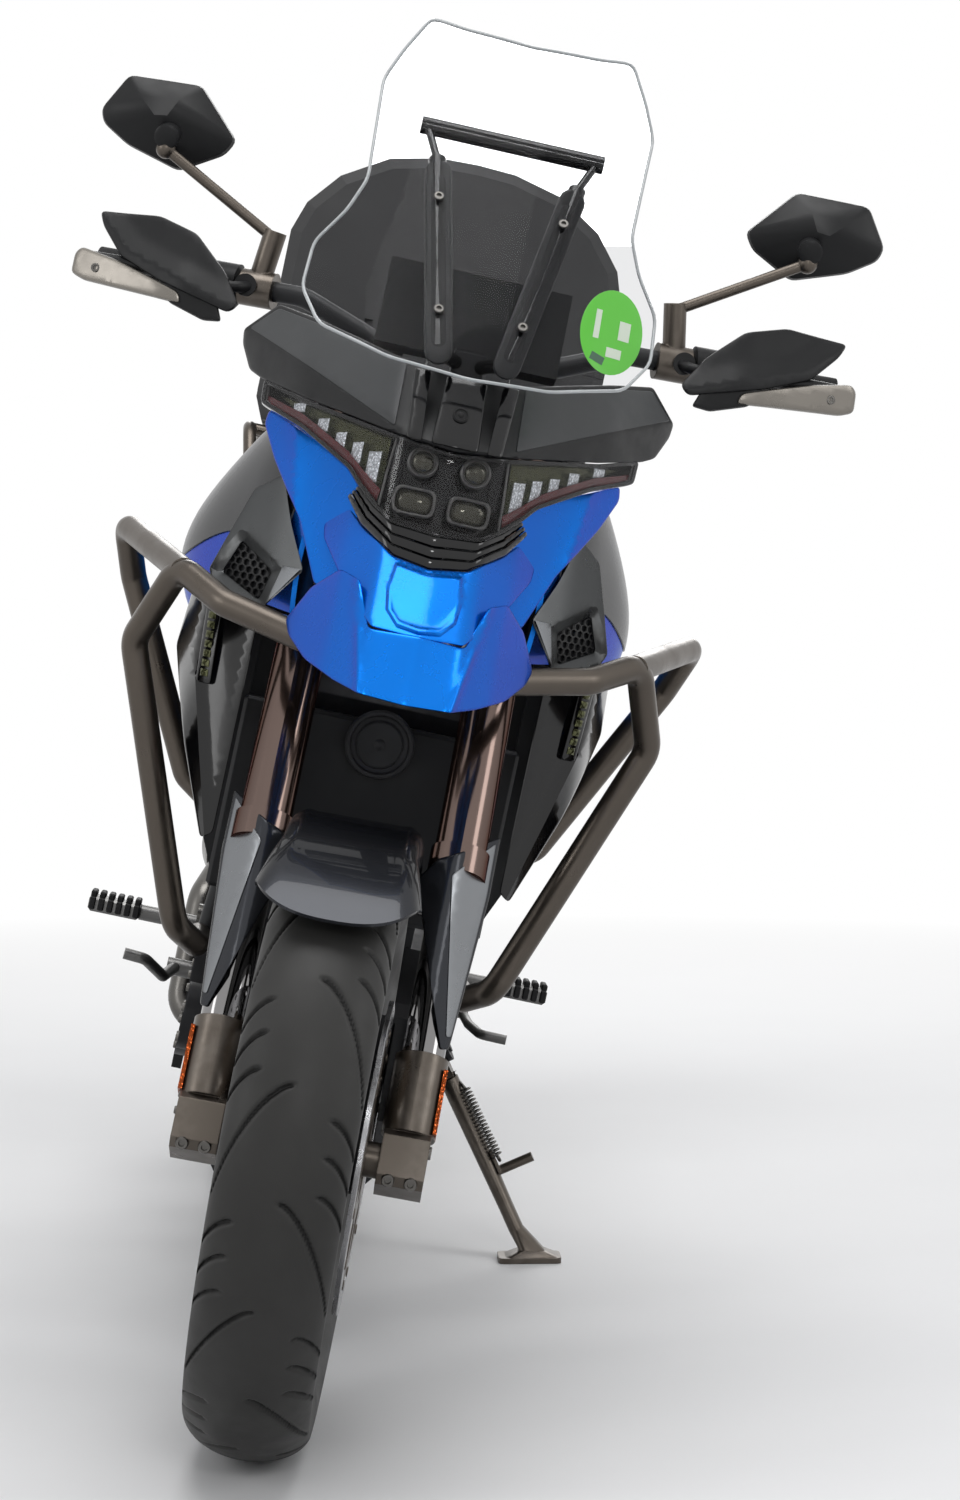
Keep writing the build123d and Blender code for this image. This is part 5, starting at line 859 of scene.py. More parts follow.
# left, up, width and height of the bright blocks
BLOCKS = [
    (-155, 1004, 12, 9), (-128, 990, 11, 13), (-108, 977, 10, 17), (-90, 968, 10, 21), (-72, 957, 12, 30)
]
REFLECTOR = [(60, 934), (60, 987), (120, 1001), (178, 1014), (150, 994), (100, 966), (80, 946)]
TINT = [
    (62, 924), (82, 941), (98, 956), (150, 988), (190, 1005), (190, 1012), (150, 998), (98, 968),
    (78, 950), (60, 936),
]
OUTLINES = [
    [(56, 989), (100, 999), (150, 1010), (194, 1024), (193, 1006), (187, 1002), (150, 986)],
    [(150, 986), (96, 953), (83, 938), (65, 921), (48, 909)],
    [(56, 989), (59, 950), (60, 918)],
]
blocks, dim, red, strips = Shape(), Shape(), Shape(), Shape()
for way in (1, -1):
    for y, z, wide, tall in BLOCKS:
        y, half, high = y * -way, wide / 2, tall / 2
        loop = [
            (y - half, z - high - 1), (y + half, z - high + 1),
            (y + half, z + high + 1), (y - half, z + high - 1),
        ]
        blocks.sheet(loop, lamp_front, 12, lift=-13, step=5, ease=1.2)
    loop = np.array(REFLECTOR) * (way, 1)
    dim.sheet(loop, lamp_front, 6, lift=-22, step=7, ease=1.0)
    loop = np.array(TINT) * (way, 1)
    red.sheet(loop, lamp_front, 8, lift=-8, step=7, ease=1.5)
    for run_line in OUTLINES:
        pts = divided(np.array(run_line) * (way, 1), 9, closed=False)
        strips.tube([(float(lamp_front(y, z)) - 3.4, y * 0.985, z) for y, z in pts], 1.25, 6)
blocks.make("lamp_blocks", "led", slot="chrome", smooth=30)
dim.make("lamp_reflectors", "led_dim", slot="chrome", smooth=30)
red.make("lamp_tint", "lamp_red", slot="red_lens", smooth=30)
strips.make("lamp_outline", "alloy", smooth=True)

lenses, bezels = Shape(), Shape()
for way in (1, -1):
    middle = np.array((27.0 * way, 931.0))
    box = rounded(oblong(21, 14), 9) + middle
    inner = rounded(oblong(18, 11), 8) + middle
    bezels.sheet(box, lamp_front, 16, lift=-6, holes=[inner], step=6, ease=1.2)
    dome = lambda flat, middle=middle: 5 - 5 * np.minimum((((flat - middle) / (19, 13)) ** 2).sum(1), 1.2)
    lenses.sheet(inner, lamp_front, 6, lift=-12, step=5, ease=0.6, swell=dome)
    place_at = Vector((float(lamp_front(26, 970)) - 12, 26 * way, 970))
    bezels.ring(place_at, (1, 0, 0.12), [(15, -8), (15, 2), (13, 3.4), (11.5, 1.0)], 32)
    lenses.ring(
        place_at, (1, 0, 0.12), [(11.4, -6), (11.4, 0.5), (9.5, 3.5), (6, 5.6), (2.5, 6.6), (0.3, 6.8)], 32
    )
bezels.make("projector_rims", "alloy", smooth=38)
lenses.make("projector_lenses", "projector", slot="gloss_black", smooth=40)

# ---- beak
BIB = [
    (0, 869.5), (37, 875.5), (72, 899.5), (100, 930), (112, 925), (104, 880), (70, 830), (44, 806), (0, 804)
]
LIP = [
    (0, 806), (46, 804), (62, 846), (82, 853), (106, 830), (124, 794), (118, 780), (99, 762), (70, 750),
    (43, 743), (0, 741),
]
CHEEK = [
    (186, 1000), (95, 957), (80, 934), (72, 880), (74, 836), (104, 833), (131, 893), (150, 920), (170, 950),
    (188, 985),
]
bib_front = eased([(846, 0), (838, 46), (790, 84), (740, 112)], 5, -1.0, 804)
lip_plan = eased([(876, 0), (866, 44), (812, 82), (716, 126)], 4, -0.45, 741)
cheek_plan = eased([(735, 70), (680, 112), (635, 150), (575, 190)], 12, -0.45, 833)
plateau = np.array(whole([(0, 866), (33, 871), (37, 845), (34, 824), (22, 811), (0, 808)]), float)


def raised(flat):
    """The nose plate's middle, lifted, with a thin lip round it."""
    depth = np.where(inside(flat, plateau), gap_to(flat, plateau), 0.0)
    lift = 4.5 * np.clip(depth / 3.0, 0, 1)
    return lift - 2.4 * np.clip((depth - 5) / 1.5, 0, 1) * np.clip((842 - flat[:, 1]) / 20, 0, 1)


def lip_front(y, z):
    side = np.abs(y)
    fold_at = 44 + 0.20 * (z - 744)
    ridge = 4.0 * np.exp(-(((side - fold_at) / 3.2) ** 2))
    hollow = 5.0 * np.clip((side - fold_at) / 30, 0, 1) * np.clip((116 - side) / 30, 0, 1)
    return lip_plan(y, z) + ridge - hollow - 0.05 * side


def cheek_front(y, z):
    side = np.abs(y)
    ridge_at = np.interp(z, [833, 900, 1000], [112, 138, 156])
    return cheek_plan(y, z) + 7.0 * np.exp(-np.abs(side - ridge_at) / 9.0)


rings = [np.vstack([offset(plateau, d), offset(plateau, d)[:1]]) for d in (0.0, 3.0, 5.0, 6.5)]
beak = Shape()
beak.sheet(rounded(whole(BIB), 3), bib_front, 4, folds=rings, step=6, ease=2.0, swell=raised)
lip_folds = [[(w * (44 + d), 745), (w * (56 + d), 803)] for w in (1, -1) for d in (-4, -1.5, 0, 1.5, 4)]
beak.sheet(rounded(whole(LIP), 4), lip_front, 4, folds=lip_folds, step=6, ease=2.2)
cheeks = Shape()
ridge = [(113, 838), (138, 900), (153, 980)]
cheeks.sheet(rounded(CHEEK, 5), cheek_front, 4, folds=[ridge], step=7, ease=2.0).mirrored()
beak.put(cheeks.verts, cheeks.faces)
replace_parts(beak.make("beak_skin", "blue", smooth=40), "beak")

# ---- air inlets
INLET = [(157, 937), (184, 918), (214, 826), (205, 812), (150, 798), (117, 844), (138, 887)]
GRILLE = [(185, 862), (199, 826), (155, 806), (148, 837)]
inlet_front = eased([(646, 114), (604, 150), (474, 216)], 8, -0.4, 798)
mouth = rounded(GRILLE, 3)
RIM_WIDTH = 11
rim_ring = offset(np.array(GRILLE, float), -RIM_WIDTH)


def facets(flat):
    """A steep rim that rises from the mouth, and then a slow fall."""
    away = gap_to(flat, GRILLE)
    return np.where(away < RIM_WIDTH, -7 + away * 1.35, 7.85 - (away - RIM_WIDTH) * 0.22)


inlets = Shape()
ring_fold = np.vstack([rim_ring, rim_ring[:1]])
spokes = [
    [tuple(rim_ring[k]), end]
    for k, end in ((0, (160, 933)), (3, (122, 845)), (1, (209, 824)), (2, (152, 800)))
]
inlets.sheet(
    rounded(INLET, 4), inlet_front, 12, holes=[mouth], folds=[ring_fold, *spokes], step=6, ease=1.6,
    swell=facets,
)
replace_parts(inlets.mirrored().make("inlet_shells", "silver", smooth=24), "air_inlets")
# A lighter sheet on one facet of each inlet: painted highlight.
painted_light = Shape().sheet(
    [(120, 845), (138, 845), (148, 802)], inlet_front, 3, lift=8.6, step=7, ease=1.0
).mirrored()
painted_light.make("inlet_painted_highlights", "painted_highlight_silver", slot="silver", smooth=24)
backs = Shape().sheet(offset(mouth, -2), inlet_front, 3, lift=-17, step=9, ease=0.5).mirrored()
backs.make("inlet_backs", "frame_black", slot="silver")
cells = Shape()
pitch = 8.0
row_pitch = pitch * 0.87
wide = np.array(offset(mouth, 1.0))
for row in range(-6, 7):
    for column in range(-7, 8):
        centre = np.array((172 + pitch * (column + 0.5 * (row % 2)), 834 + row_pitch * row))
        if not inside(centre[None], wide)[0]:
            continue
        for a in range(6):
            points = []
            for k in (a, a + 1):
                turn_to = math.radians(60 * k + 30)
                end = centre + np.array((math.cos(turn_to), math.sin(turn_to))) * pitch * 0.56
                for grow in (1.0, 0.84):
                    p = centre + (end - centre) * grow
                    x = float(inlet_front(p[0], p[1]))
                    points += [(x - 9, *p), (x - 14, *p)]
            cells.hull(points)
cells.mirrored().make("inlet_honeycomb", "black_plastic", slot="silver")


# ---- shrouds and side panels
def glide(at, known, values):
    """Smooth curves through rows of values at known places."""
    known, values = np.array(known, float), np.array(values, float)
    slopes = np.gradient(values, known, axis=0)
    k = np.clip(np.searchsorted(known, at, side="right") - 1, 0, len(known) - 2)
    span = (known[k + 1] - known[k])[:, None]
    t = ((at - known[k])[:, None]) / span
    first, second = values[k], values[k + 1]
    return (
        first * (2 * t**3 - 3 * t**2 + 1) + slopes[k] * span * (t**3 - 2 * t**2 + t)
        + second * (3 * t**2 - 2 * t**3) + slopes[k + 1] * span * (t**3 - t**2)
    )


SHROUD_AT = [60, 250, 450, 600]
# left and up of its top edge, its middle and its low edge at each forward place
SHROUD = [
    (166, 950, 222, 870, 204, 796),
    (200, 960, 250, 862, 232, 776),
    (166, 985, 190, 900, 188, 806),
    (112, 925, 125, 880, 122, 800),
]


def shroud_grid(start, stop, high_share, out=0.0):
    """Points of the shroud between two forward places, from its top edge down to a share of its height."""
    at = np.linspace(start, stop, 46)
    values = glide(at, SHROUD_AT, SHROUD)
    v = np.linspace(0, high_share, 13)
    weights = np.stack([(1 - v) * (1 - 2 * v), 4 * v * (1 - v), v * (2 * v - 1)])
    y = values[:, [0, 2, 4]] @ weights + out
    z = values[:, [1, 3, 5]] @ weights + out * 0.3
    return np.stack([np.broadcast_to(at[:, None], y.shape), y, z], -1)


shroud = Shape().put(*grid_shell(shroud_grid(60, 600, 1), np.array((0, -5.0, -0.5)))).mirrored()
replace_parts(shroud.make("shroud_skins", "blue", smooth=50), "tank_shrouds")
cover = Shape().put(*grid_shell(shroud_grid(84, 566, 0.66, out=2.0), np.array((0, -1.7, -0.4)))).mirrored()
cover.make("shroud_covers", "graphite", smooth=50)

FAIRING = [(152, 796), (205, 810), (228, 800), (234, 740), (200, 640), (164, 552), (152, 560)]
fairing_front = eased([(520, 150), (474, 210), (380, 236)], 9)
keel = np.array([(206, 808), (212, 742), (184, 640), (160, 556)], float)
bulge = lambda flat: 9.0 * np.exp(-gap_to(flat, keel, closed=False) / 12)
fairing = Shape().sheet(
    rounded(FAIRING, 5), fairing_front, 4, folds=[keel], step=8, ease=2.2, swell=bulge
).mirrored()
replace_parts(fairing.make("side_fairing_skins", "gloss_black", slot="graphite", smooth=30), "side_fairings")
holder, lit = Shape(), Shape()
strip = rounded([(187, 709), (203, 709), (209, 803), (192, 803)], 4)
holder.sheet(strip, fairing_front, 9, lift=9, step=6, ease=1.5)
for k in range(9):
    z = 716 + 10.0 * k
    y = 191 + 0.07 * (z - 709)
    loop = [(y, z), (y + 8, z), (y + 8.6, z + 7.5), (y + 0.6, z + 7.5)]
    lit.sheet(loop, fairing_front, 3, lift=10.4, step=5, ease=1.0)
holder.mirrored().make("running_lamp_holders", "gloss_black", slot="graphite", smooth=40)
lit.mirrored().make("running_lamps", "led_dim", slot="chrome", smooth=30)
# A flat dark sheet inside each side fills the gaps there with painted shade.
SHADE_FILLER = [(112, 640), (150, 620), (206, 700), (214, 880), (150, 905), (112, 880)]
shade_filler = Shape().sheet(rounded(SHADE_FILLER, 8), lambda y, z: 332 + 0 * y, 4, step=20, ease=1.0)
shade_filler.mirrored().make("shade_filler_sheets", "black_plastic", slot="frame_black", smooth=30)

# ---- hand guards, fender and fork feet
GUARD = [
    (240, 1116), (262, 1150), (300, 1186), (345, 1200), (413, 1196), (406, 1180), (379, 1149), (330, 1128),
    (250, 1106),
]
guard_front = eased([(400, 238), (402, 300), (362, 416)], 12, -0.35, 1106)
spine = np.array([(246, 1112), (322, 1138), (372, 1156), (409, 1190)], float)
peak = lambda flat: 5.0 * np.clip(1 - gap_to(flat, spine, closed=False) / 22, 0, 1)
guards = Shape().sheet(
    rounded(GUARD, 6), guard_front, 4, folds=[spine], step=7, ease=2.4, swell=peak
).mirrored()
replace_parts(guards.make("hand_guard_skins", "black_plastic", "steering", smooth=28), "hand_guards")

ARCH = 318.0
FENDER_WALL = 4
FENDER_BACK, FENDER_FRONT = 120, 49.0
SKIRT_DROP = 34
share = np.linspace(0, 1, 44)[:, None]
side = np.linspace(-1, 1, 45)[None, :]
bend_to = np.radians(FENDER_BACK + (FENDER_FRONT + 13 * np.abs(side) ** 2.4 - FENDER_BACK) * share)
size = ARCH + FENDER_WALL - SKIRT_DROP * np.abs(side) ** 6 + 3.0 * np.exp(
    -(((np.abs(side) - 0.55) / 0.07) ** 2)
) * (1 - share)
fender_grid = np.stack(
    [
        FRONT_AXLE[0] + size * np.cos(bend_to),
        (66 + 12 * np.clip((share - 0.72) / 0.28, 0, 1)) * np.sin(side * math.pi / 2),
        FRONT_AXLE[2] + size * np.sin(bend_to),
    ],
    -1,
)
skirt = np.abs(side) ** 6 * np.ones_like(share)
inwards = -FENDER_WALL * np.stack(
    [(1 - skirt) * np.cos(bend_to), np.sign(side) * skirt, (1 - skirt) * np.sin(bend_to)], -1
)
fender = Shape().put(*grid_shell(fender_grid, inwards))
spat_front = eased([(717.6, 62), (743.6, 96), (691.6, 137)], 8, -0.477, 412)
SPAT = [(62, 566), (80, 590), (137, 618), (137, 560), (124, 412), (116, 412)]
# A lighter sheet over the outer face of each spat: painted highlight.
SPAT_FACE = [(96, 578), (134, 612), (134, 560), (124, 424), (119, 424)]
spat = Shape().sheet(rounded(SPAT, 3), spat_front, 4, step=7, ease=2.0).mirrored()
fender.put(spat.verts, spat.faces)
spat_face = Shape().sheet(rounded(SPAT_FACE, 3), spat_front, 2.0, lift=1.6, step=7, ease=1.2).mirrored()
spat_face.make("spat_painted_highlights", "painted_highlight_silver", "steering", slot="silver", smooth=40)
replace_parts(fender.make("fender_skin", "graphite", "steering", smooth=45), "front_fender")

foot_bolts = Shape()
for way in (1, -1):
    for across in (89, 111):
        at, _ = touch("fork_feet", (900, across * way, 289), (-1, 0, 0), True)
        foot_bolts.bolt(at, (1, 0, 0), 6.5, 5.0)
    for back in (-9, 9):
        at, _ = touch("fork_feet", (752.5 + back * 1.6, 240 * way, 316), (0, -way, 0), True)
        foot_bolts.bolt(at, (0, way, 0), 4.0, 3.0)
foot_bolts.make("fork_foot_bolts", "steel", "steering", smooth=35)
arm_front = eased([(402, 262), (390, 330), (344, 432)], 8)
arm_end = rounded(
    [(302, 1107), (306, 1119), (382, 1144), (424, 1153), (431, 1146), (432, 1124), (417, 1118), (386, 1115)],
    5,
)
arm_ends = Shape().sheet(arm_end, arm_front, 14, lift=1.5, step=7, ease=3.5).mirrored()
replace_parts(arm_ends.make("guard_arm_ends", "silver_arm", "steering", slot="bronze", smooth=35), "guard_arms")
arm_root = rounded([(256, 1096), (264, 1116), (306, 1126), (330, 1127), (316, 1107), (276, 1094)], 4)
Shape().sheet(arm_root, arm_front, 11, lift=-2, step=7, ease=2.5).tube(
    [(337, 424, 1144), (352, 380, 1143), (366, 330, 1140)], 7.5, 16
).mirrored().make("guard_arm_roots", "black_plastic", "steering", smooth=35)
guard_bolts = Shape()
for way in (1, -1):
    guard_bolts.bolt((float(arm_front(404, 1132)) + 1.2, 404 * way, 1132), (1, 0, 0), 5.0, 3.0)

MIRROR = [
    (435, 1309), (411, 1350), (331, 1352), (284, 1300), (294, 1283), (341, 1257), (400, 1275), (430, 1294)
]
shell, cup = Shape(), Shape()
edge_line = rounded(MIRROR, 7)
peak_at = np.array((362.0, 1306.0))
for way in (1, -1):
    rims = []
    for depth, shrink in ((300, 1.0), (306, 1.012), (312, 0.985)):
        rims += [(depth, way * y, z) for y, z in peak_at + (edge_line - peak_at) * shrink]
    rims += [
        (343, way * 358, 1309), (343, way * 372, 1307), (334, way * 349, 1330), (332, way * 392, 1326),
        (330, way * 330, 1305),
    ]
    shell.hull(rims)
    cup.ring(
        (350, way * 354, 1285), (1, 0, -0.35), [(9, -24), (13, -20), (13.5, 0), (11, 1.5), (0.4, 1.5)], 28
    )
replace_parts(shell.make("mirror_housings", "black_plastic", "steering", smooth=22), "mirror_shells")
cup.make("mirror_cups", "black_plastic", "steering", smooth=35)
guard_bolts.make("guard_arm_bolts", "steel", "steering", smooth=35)

# ---- brake discs
DISC_WALL = 5.0
CARRIER_WALL = 4.0
DRILL_RADIUS = 3.1
RIVET = [(5, -0.4), (5, 1.2), (3.4, 1.2), (3.0, 0.5), (0.3, 0.5)]


def rotor(name, node, body, axle, outer, inner, centre):
    """A drilled brake disc on a carrier with windows, on each side that the CAD's disc has."""
    cad = NODES[node]
    home = placing(body).inverted() @ cad.matrix_world
    heights = np.array([(home @ v.co)[1] / MM for v in cad.data.vertices])
    sides = [s for s in (1, -1) if (heights * s > 20).any()]
    disc, carrier = Shape(), Shape()
    for way in sides:
        left = way * abs(centre)
        holes = [circle(inner, 72)]
        for row in range(3):
            for k in range(24):
                angle = 2 * math.pi * (k + row / 3) / 24
                r = inner + (outer - inner) * (0.24 + 0.27 * row)
                holes.append(circle(DRILL_RADIUS, 8, (r * math.cos(angle), r * math.sin(angle))))
        disc.put(
            *plate(circle(outer, 144, wave=1.6, waves=12), holes, (axle[0], left, axle[2]), DISC_WALL, 9.0)
        )
        windows = [circle(inner * 0.36, 40)]
        for k in range(6):
            middle, half = 2 * math.pi * k / 6, math.radians(21)
            arc = np.linspace(middle - half, middle + half, 9)
            near = [(inner * 0.52 * math.cos(a), inner * 0.52 * math.sin(a)) for a in arc]
            far = [(inner * 0.88 * math.cos(a), inner * 0.88 * math.sin(a)) for a in arc[::-1]]
            windows.append(rounded(near + far, 4))
        carrier.put(*plate(circle(inner + 3, 72), windows, (axle[0], left, axle[2]), CARRIER_WALL, 9.0))
        for k in range(12):
            a = 2 * math.pi * (k + 0.5) / 12
            for face in (1, -1):
                at = (
                    axle[0] + (inner + 0.5) * math.cos(a), left + face * 2.3,
                    axle[2] + (inner + 0.5) * math.sin(a),
                )
                carrier.ring(at, (0, face, 0), RIVET, 14)
    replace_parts(disc.make(name + "_rotors", "disc_steel", body, smooth=35), node)
    carrier.make(name + "_carriers", "bronze", body, slot="disc_steel", smooth=35)


rotor("front_disc", "front_discs", "front_wheel", FRONT_AXLE, 153.0, 122.0, 62.0)
rotor("rear_disc", "rear_disc", "rear_wheel", REAR_AXLE, 118.0, 90.0, 72.0)

# ---- frame, engine and stand details
HORN_UP = 682
HORN_RIM = [(36, -3), (37, 1), (35, 4.5), (31.5, 4.5), (30.5, 1.5), (29, 1.0)]
HORN_HUB = [(7, -1), (7, 3.5), (5, 5), (0.4, 5)]
at, _ = touch("radiator", (620, 24, HORN_UP), (-1, 0, 0))
horn = Shape().ring((at.x, 0, HORN_UP), (1, 0, 0), HORN_RIM, 56)
turns = np.linspace(0, 5.6, 28)
for radius in (12, 18, 24):
    horn.tube([(at.x + 2, radius * math.cos(a), HORN_UP + radius * math.sin(a)) for a in turns], 1.5, 6)
horn.ring((at.x, 0, HORN_UP), (1, 0, 0), HORN_HUB, 28)
horn.make("horn_face", "engine_metal", slot="frame_black", smooth=40)

fins = Shape()
for k in range(38):
    z = 505 + 5.0 * k
    x = 384 + (z - 496) * 36 / 208 + 1.4
    if abs(z - HORN_UP) > 40:
        fins.box((x, 0, z), (1.3, 139, 0.9), 0.3)
fins.make("radiator_fins", "engine_metal", slot="frame_black")

cover_bolts = Shape()
# forward, up and radius of each cover's ring of bolts, its side and how many there are
COVERS = [(95, 350, 79, -1, 9), (195, 320, 54, 1, 8), (245, 330, 31, -1, 5)]
for x, z, radius, way, count in COVERS:
    for k in range(count):
        a = 2 * math.pi * (k + 0.3) / count
        at, _ = touch("engine", (x + radius * math.cos(a), 320 * way, z + radius * math.sin(a)), (0, -way, 0))
        cover_bolts.bolt(at, (0, way, 0), 4.6, 4.0)
cover_bolts.make("engine_cover_bolts", "steel", slot="steel", smooth=35)

tray = Shape()
keel_low = [Vector((-48, 56, 147)), Vector((306, 56, 147))]
flank = [Vector((-48, 100, 214)), Vector((352, 98, 214))]
nose_low, nose_high = Vector((306, 56, 147)), Vector((398, 62, 268))
quads = [
    (keel_low[0], keel_low[1], flank[1], flank[0]),
    (nose_low, nose_high, flank[1], flank[1] + Vector((-8, 0, 0))),
]
for quad in quads:
    tray.hull([p + lift for p in quad for lift in (Vector((0, 0, 0)), Vector((0, -3, 2)))])
tray.mirrored()
for near, far in ((keel_low[0], keel_low[1]), (nose_low, nose_high)):
    ends = [near, far, Vector((near.x, -near.y, near.z)), Vector((far.x, -far.y, far.z))]
    tray.hull([p + lift for p in ends for lift in (Vector((0, 0, 0)), Vector((-1, 0, 3)))])
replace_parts(tray.make("skid_tray", "frame_black", smooth=25), "skid_plate")

peg_rubber = Shape()
for k in range(6):
    left = 234 + 11.2 * k
    peg_rubber.box((-190, left, 396), (16, 3.8, 4.5), 1.6)
    peg_rubber.box((-171.5, left, 385), (3.5, 3.8, 8), 1.4)
    peg_rubber.box((-208.5, left, 385), (3.5, 3.8, 8), 1.4)
peg_rubber.mirrored().make("peg_rubbers", "rubber")

PIVOT, LEG = Vector((-150, 172, 292)), Vector((0.2146, 0.5804, -0.7855))
coil_start, coil_end = Vector((-124, 214, 258)), Vector((-104, 270, 186))
line_way = (coil_end - coil_start).normalized()
one = line_way.orthogonal().normalized()
two = line_way.cross(one)
COIL_TURNS, COIL_RADIUS, WIRE_RADIUS = 19, 6.0, 1.35
coil = []
for k in range(190):
    t = k / 189
    a = 2 * math.pi * COIL_TURNS * t
    coil.append(coil_start.lerp(coil_end, t) + (one * math.cos(a) + two * math.sin(a)) * COIL_RADIUS)
stand = Shape().tube(coil, WIRE_RADIUS, 6)
stand.tube([PIVOT + LEG * 40 + Vector((6, 12, 2)), coil_start], 2.2, 8)
stand.tube([coil_end, PIVOT + LEG * 150 + Vector((6, 16, 6))], 2.2, 8)
stand.make("stand_spring", "steel", "side_stand", slot="bronze", smooth=True)
FOOT = Vector((-90, 334.25, 72.4))
FLAT_UP, FLAT_SIDE, FLAT_AHEAD = Vector((0, -0.2086, 0.978)), Vector((0, 0.978, 0.2086)), Vector((1, 0, 0))
leg_side = LEG.cross(FLAT_AHEAD).normalized()


def leg_ring(reach, half_ahead, half_side, count=16):
    """Points of an oval round the stand's leg."""
    turns = 2 * math.pi * np.arange(count) / count
    return [
        PIVOT + LEG * reach + FLAT_AHEAD * half_ahead * math.cos(t) + leg_side * half_side * math.sin(t)
        for t in turns
    ]


def foot_ring(rise, half_ahead, half_side, out):
    """Points of a rounded slab lying flat on the ground under the stand."""
    loop = rounded(oblong(half_ahead, half_side), 8)
    return [FOOT + FLAT_UP * rise + FLAT_AHEAD * a + FLAT_SIDE * (b + out) for a, b in loop]


leg = Shape()
sections = [(36, 12.5, 12), (62, 15, 12), (150, 14.5, 10.5), (205, 13.5, 9.5), (240, 14, 9.5)]
for one_end, other_end in zip(sections, sections[1:]):
    leg.hull(leg_ring(*one_end) + leg_ring(*other_end))
leg.hull(leg_ring(*sections[-1]) + foot_ring(11, 16, 16, 3)).hull(
    foot_ring(11, 16, 16, 3) + foot_ring(3.5, 21, 33, 3)
)
leg.hull(foot_ring(3.5, 23, 39, 0) + foot_ring(-3.5, 23, 39, 0))
# the lug round the pin keeps the CAD faces, so that it fits between the bracket's ears
solid = NODES["side_stand"]
home = FIXED.inverted() @ solid.matrix_world
lug = [home @ v.co / MM for v in solid.data.vertices]
near_pin = [
    p.vertices[:] for p in solid.data.polygons if all((lug[k] - PIVOT).dot(LEG) < 46 for k in p.vertices)
]
kept = sorted({k for face in near_pin for k in face})
leg.put([lug[k] for k in kept], [[kept.index(k) for k in face] for face in near_pin])
leg.tube([PIVOT + LEG * 168 + FLAT_UP * 2, PIVOT + LEG * 168 + Vector((4, 44, 34))], 6, 14)
leg.hull(
    [
        PIVOT + LEG * reach + leg_side * way * 2 + Vector((x, 9, 6))
        for reach in (138, 168) for way in (1, -1) for x in (2, 12)
    ]
)
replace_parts(leg.make("stand_casting", "bronze", "side_stand", smooth=32), "side_stand")

screen_back = lambda y, z: 484 - (z - 1090) * 22 / 86 - 0.2
dash = rounded([(-84, 1099), (84, 1099), (84, 1168), (-84, 1168)], 8)
Shape().sheet(dash, screen_back, 2.0, step=12, ease=0.6).make(
    "dash_display", "display", slot="black_plastic", smooth=30
)

# ---- top case details
latch = Shape()
at, _ = touch("top_case_lid", (-1300, 0, 1222), (1, 0, 0))
latch.box((at.x - 3, 0, 1226), (5, 30, 20), 3).box((at.x - 8, 0, 1214), (3, 22, 7), 2)
latch.make("case_latch", "black_plastic", "top_case_lid", smooth=25)
keeper = Shape()
at, _ = touch("top_case_base", (-1300, 0, 1180), (1, 0, 0))
keeper.box((at.x - 3, 0, 1180), (4, 26, 14), 2)
for way in (1, -1):
    for x in (-910, -817, -724):
        at, _ = touch("top_case_base", (x, 420 * way, 1130), (0, -way, 0))
        keeper.box((x, at.y, 1130), (7, 2.4, 44), 1.6)
keeper.make("case_ribs", "black_plastic", smooth=25)


# ---- seats
PUFF = 22.0
PRESSURE = 4.0
CLOTH_FRAMES = 20
SQUARENESS = 2 / 3.4
SEAM_DROP = 16.0
SEAM_DEPTH = 2.4
CHANNEL_STEP = 62
CHANNEL_DEPTH = 2.6
SEAT_VOXEL = 0.0065


def blunt(share):
    """A cosine or sine drawn out towards a square's corners."""
    return math.copysign(abs(share) ** SQUARENESS, share)


